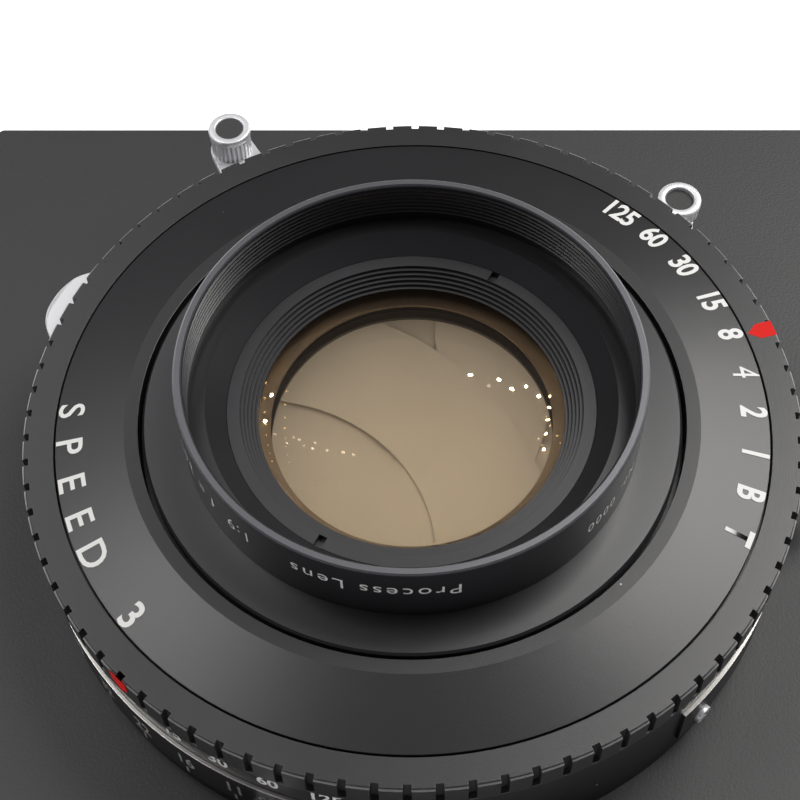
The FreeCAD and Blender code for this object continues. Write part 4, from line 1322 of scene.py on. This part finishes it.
@dataclass
class Lamp:
    """A studio lamp aimed at the lens."""

    name: str
    place: tuple
    aim: tuple
    width: float
    height: float
    power: float
    colour: tuple = (1.0, 1.0, 1.0)
    sparkle: bool = False
    unseen: bool = False

    def build(self, glasses: bpy.types.Collection, the_rest: bpy.types.Collection) -> None:
        """Adds the lamp.

        Args:
            glasses: the light-linking set that only the glinting lamps shine on.
            the_rest: the set that the soft lamps shine on, which leaves the glasses out.
        """
        data = bpy.data.lights.new(self.name, "AREA")
        data.shape = "ELLIPSE" if self.sparkle or self.unseen else "RECTANGLE"
        data.size, data.size_y = self.width, self.height
        data.energy, data.color = self.power, self.colour
        lamp = bpy.data.objects.new(self.name, data)
        lamp.location = self.place
        lamp.rotation_euler = (Vector(self.aim) - Vector(self.place)).to_track_quat("-Z", "Y").to_euler()
        lamp.visible_diffuse = not self.sparkle
        if not self.unseen:
            lamp.light_linking.receiver_collection = glasses if self.sparkle else the_rest
        if self.unseen:
            lamp.visible_camera = lamp.visible_glossy = lamp.visible_transmission = False
        bpy.context.scene.collection.objects.link(lamp)


@dataclass
class Studio:
    """Pale floor, soft lamps and the camera."""

    camera_place: tuple = (2.93 * MM, -113.35 * MM, 219.74 * MM)
    camera_turn: tuple = (32.895, 0.912, 0.812)
    camera_lens: float = 72.48
    room: float = 0.11
    room_colour: tuple = (0.92, 0.89, 1.0, 1.0)
    sensor: float = 36.0
    clip: tuple = (0.01, 60.0)
    floor_size: float = 30.0
    floor_glow: float = 0.9
    paper: tuple = (0.9, 0.9, 0.9, 1.0)
    paper_roughness: float = 0.9
    cell_level: float = 31.5 * MM
    cell_width: float = 43.0 * MM
    target: tuple = (0.0, 0.0, 0.04)
    ceiling: float = 1.04

    def build(self) -> None:
        """Builds the whole studio."""
        self.floor()
        self.world()
        sets = self.glass_set("INCLUDE"), self.glass_set("EXCLUDE")
        for lamp in self.lamps():
            lamp.build(*sets)
        self.camera()
        view = bpy.context.scene.view_settings
        view.view_transform = "Standard"
        view.look = "None"

    def glass_set(self, state: str) -> bpy.types.Collection:
        """Light-linking set that holds the glasses.

        Args:
            state: whether a lamp with this set shines on them alone (INCLUDE) or leaves them out (EXCLUDE).

        Returns:
            The set.
        """
        glasses = bpy.data.collections.new("glasses_" + state.lower())
        for item in bpy.data.objects:
            if item.type == "MESH" and item.name.endswith("glass"):
                glasses.objects.link(item)
        for entry in glasses.collection_objects:
            entry.light_linking.link_state = state
        return glasses

    def floor(self) -> None:
        """A wide pale floor."""
        deselect()
        bpy.ops.mesh.primitive_plane_add(size=self.floor_size, location=(0, 0, 0))
        floor = bpy.context.object
        floor.name = "studio_floor"
        paper = bpy.data.materials.new("white_paper")
        paper.use_nodes = True
        shader = paper.node_tree.nodes["Principled BSDF"]
        shader.inputs["Base Color"].default_value = self.paper
        shader.inputs["Roughness"].default_value = self.paper_roughness
        shader.inputs["Emission Color"].default_value = (1, 1, 1, 1)
        shader.inputs["Emission Strength"].default_value = self.floor_glow
        floor.data.materials.append(paper)

    def world(self) -> None:
        """Even soft light from all round."""
        world = bpy.data.worlds.new("studio_room")
        bpy.context.scene.world = world
        world.use_nodes = True
        light = world.node_tree.nodes["Background"]
        light.inputs["Color"].default_value = self.room_colour
        light.inputs["Strength"].default_value = self.room

    def lamps(self) -> list[Lamp]:
        """The studio's lamps.

        Returns:
            The big soft lamps, small ones that glint in the glass, and the light that the front cell gathers.
        """
        soft = [
            Lamp("right_panel", (0.56, 0.42, 1.0), self.target, 0.66, 0.8, 12.5, (1.0, 0.985, 0.96)),
            Lamp("left_panel", (-0.5, 0.14, 1.0), self.target, 0.42, 0.45, 3.2, (1.0, 0.985, 0.97)),
            Lamp("back_panel", (-0.5, 0.62, 1.0), self.target, 0.6, 0.45, 1.5, (0.97, 0.98, 1.0)),
        ]
        row = [(0.23 + 0.127 * n, 0.86) for n in range(3)] + [(0.41 + 0.127 * n, 0.81) for n in range(2)]
        column = [(0.52 + 0.02 * n, 0.48 + 0.09 * n) for n in range(8)]
        cluster = [(-0.66 - 0.06 * (n % 2), 0.5 + 0.09 * n) for n in range(6)]
        inside = Lamp("light_in_cell", (0.0, 0.0, self.cell_level), (0.0, 0.0, 0.0), self.cell_width,
                      self.cell_width, 0.0034, unseen=True)
        return [*soft,
                *self.glints("ceiling_lamp", row, 0.015, 3.0, (1.0, 0.97, 0.93)),
                *self.glints("right_lamp", column, 0.011, 1.2, (1.0, 0.72, 0.35)),
                *self.glints("left_lamp", cluster, 0.014, 3.0, (1.0, 0.85, 0.6)),
                inside]

    def glints(self, name: str, spots: Sequence[tuple[float, float]], width: float, power: float,
               colour: tuple) -> list[Lamp]:
        """Small lamps under the ceiling that glint in the glass.

        Args:
            name: the lamps' name, to which a number is added.
            spots: where each one hangs, along X and Y.
            width: width of each lamp.
            power: power of each lamp.
            colour: their colour.

        Returns:
            The lamps.
        """
        return [Lamp(f"{name}_{n}", (x, y, self.ceiling), self.target, width, width, power, colour,
                     sparkle=True)
                for n, (x, y) in enumerate(spots, start=1)]

    def camera(self) -> None:
        """The camera that looks down on the front of the lens."""
        data = bpy.data.cameras.new("viewpoint")
        data.sensor_width = self.sensor
        data.lens = self.camera_lens
        data.clip_start, data.clip_end = self.clip
        camera = bpy.data.objects.new("viewpoint", data)
        camera.location = self.camera_place
        camera.rotation_euler = Euler([math.radians(turn) for turn in self.camera_turn], "XYZ")
        bpy.context.scene.collection.objects.link(camera)
        bpy.context.scene.camera = camera


def empty_scene() -> None:
    """Removes what a new file starts with."""
    for item in list(bpy.data.objects):
        bpy.data.objects.remove(item)


def main() -> None:
    """Builds the lens piece by piece and reports each one."""
    logging.basicConfig(level=logging.INFO, format="%(message)s")
    empty_scene()
    shop = Workshop(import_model(), Dresser())
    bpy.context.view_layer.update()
    for assembly in (LensBoardSet(), ShutterBody(), SpeedRing(), FacePlate(), LensCells(), Levers(), Works()):
        assembly.build(shop)
        log.info("%s done", type(assembly).__name__)
    Studio().build()
    missing = sorted(set(shop.frame["nodes"]) - shop.finished)
    if missing:
        raise RuntimeError(f"nodes without a finish: {missing}")


if __name__ == "__main__":
    main()
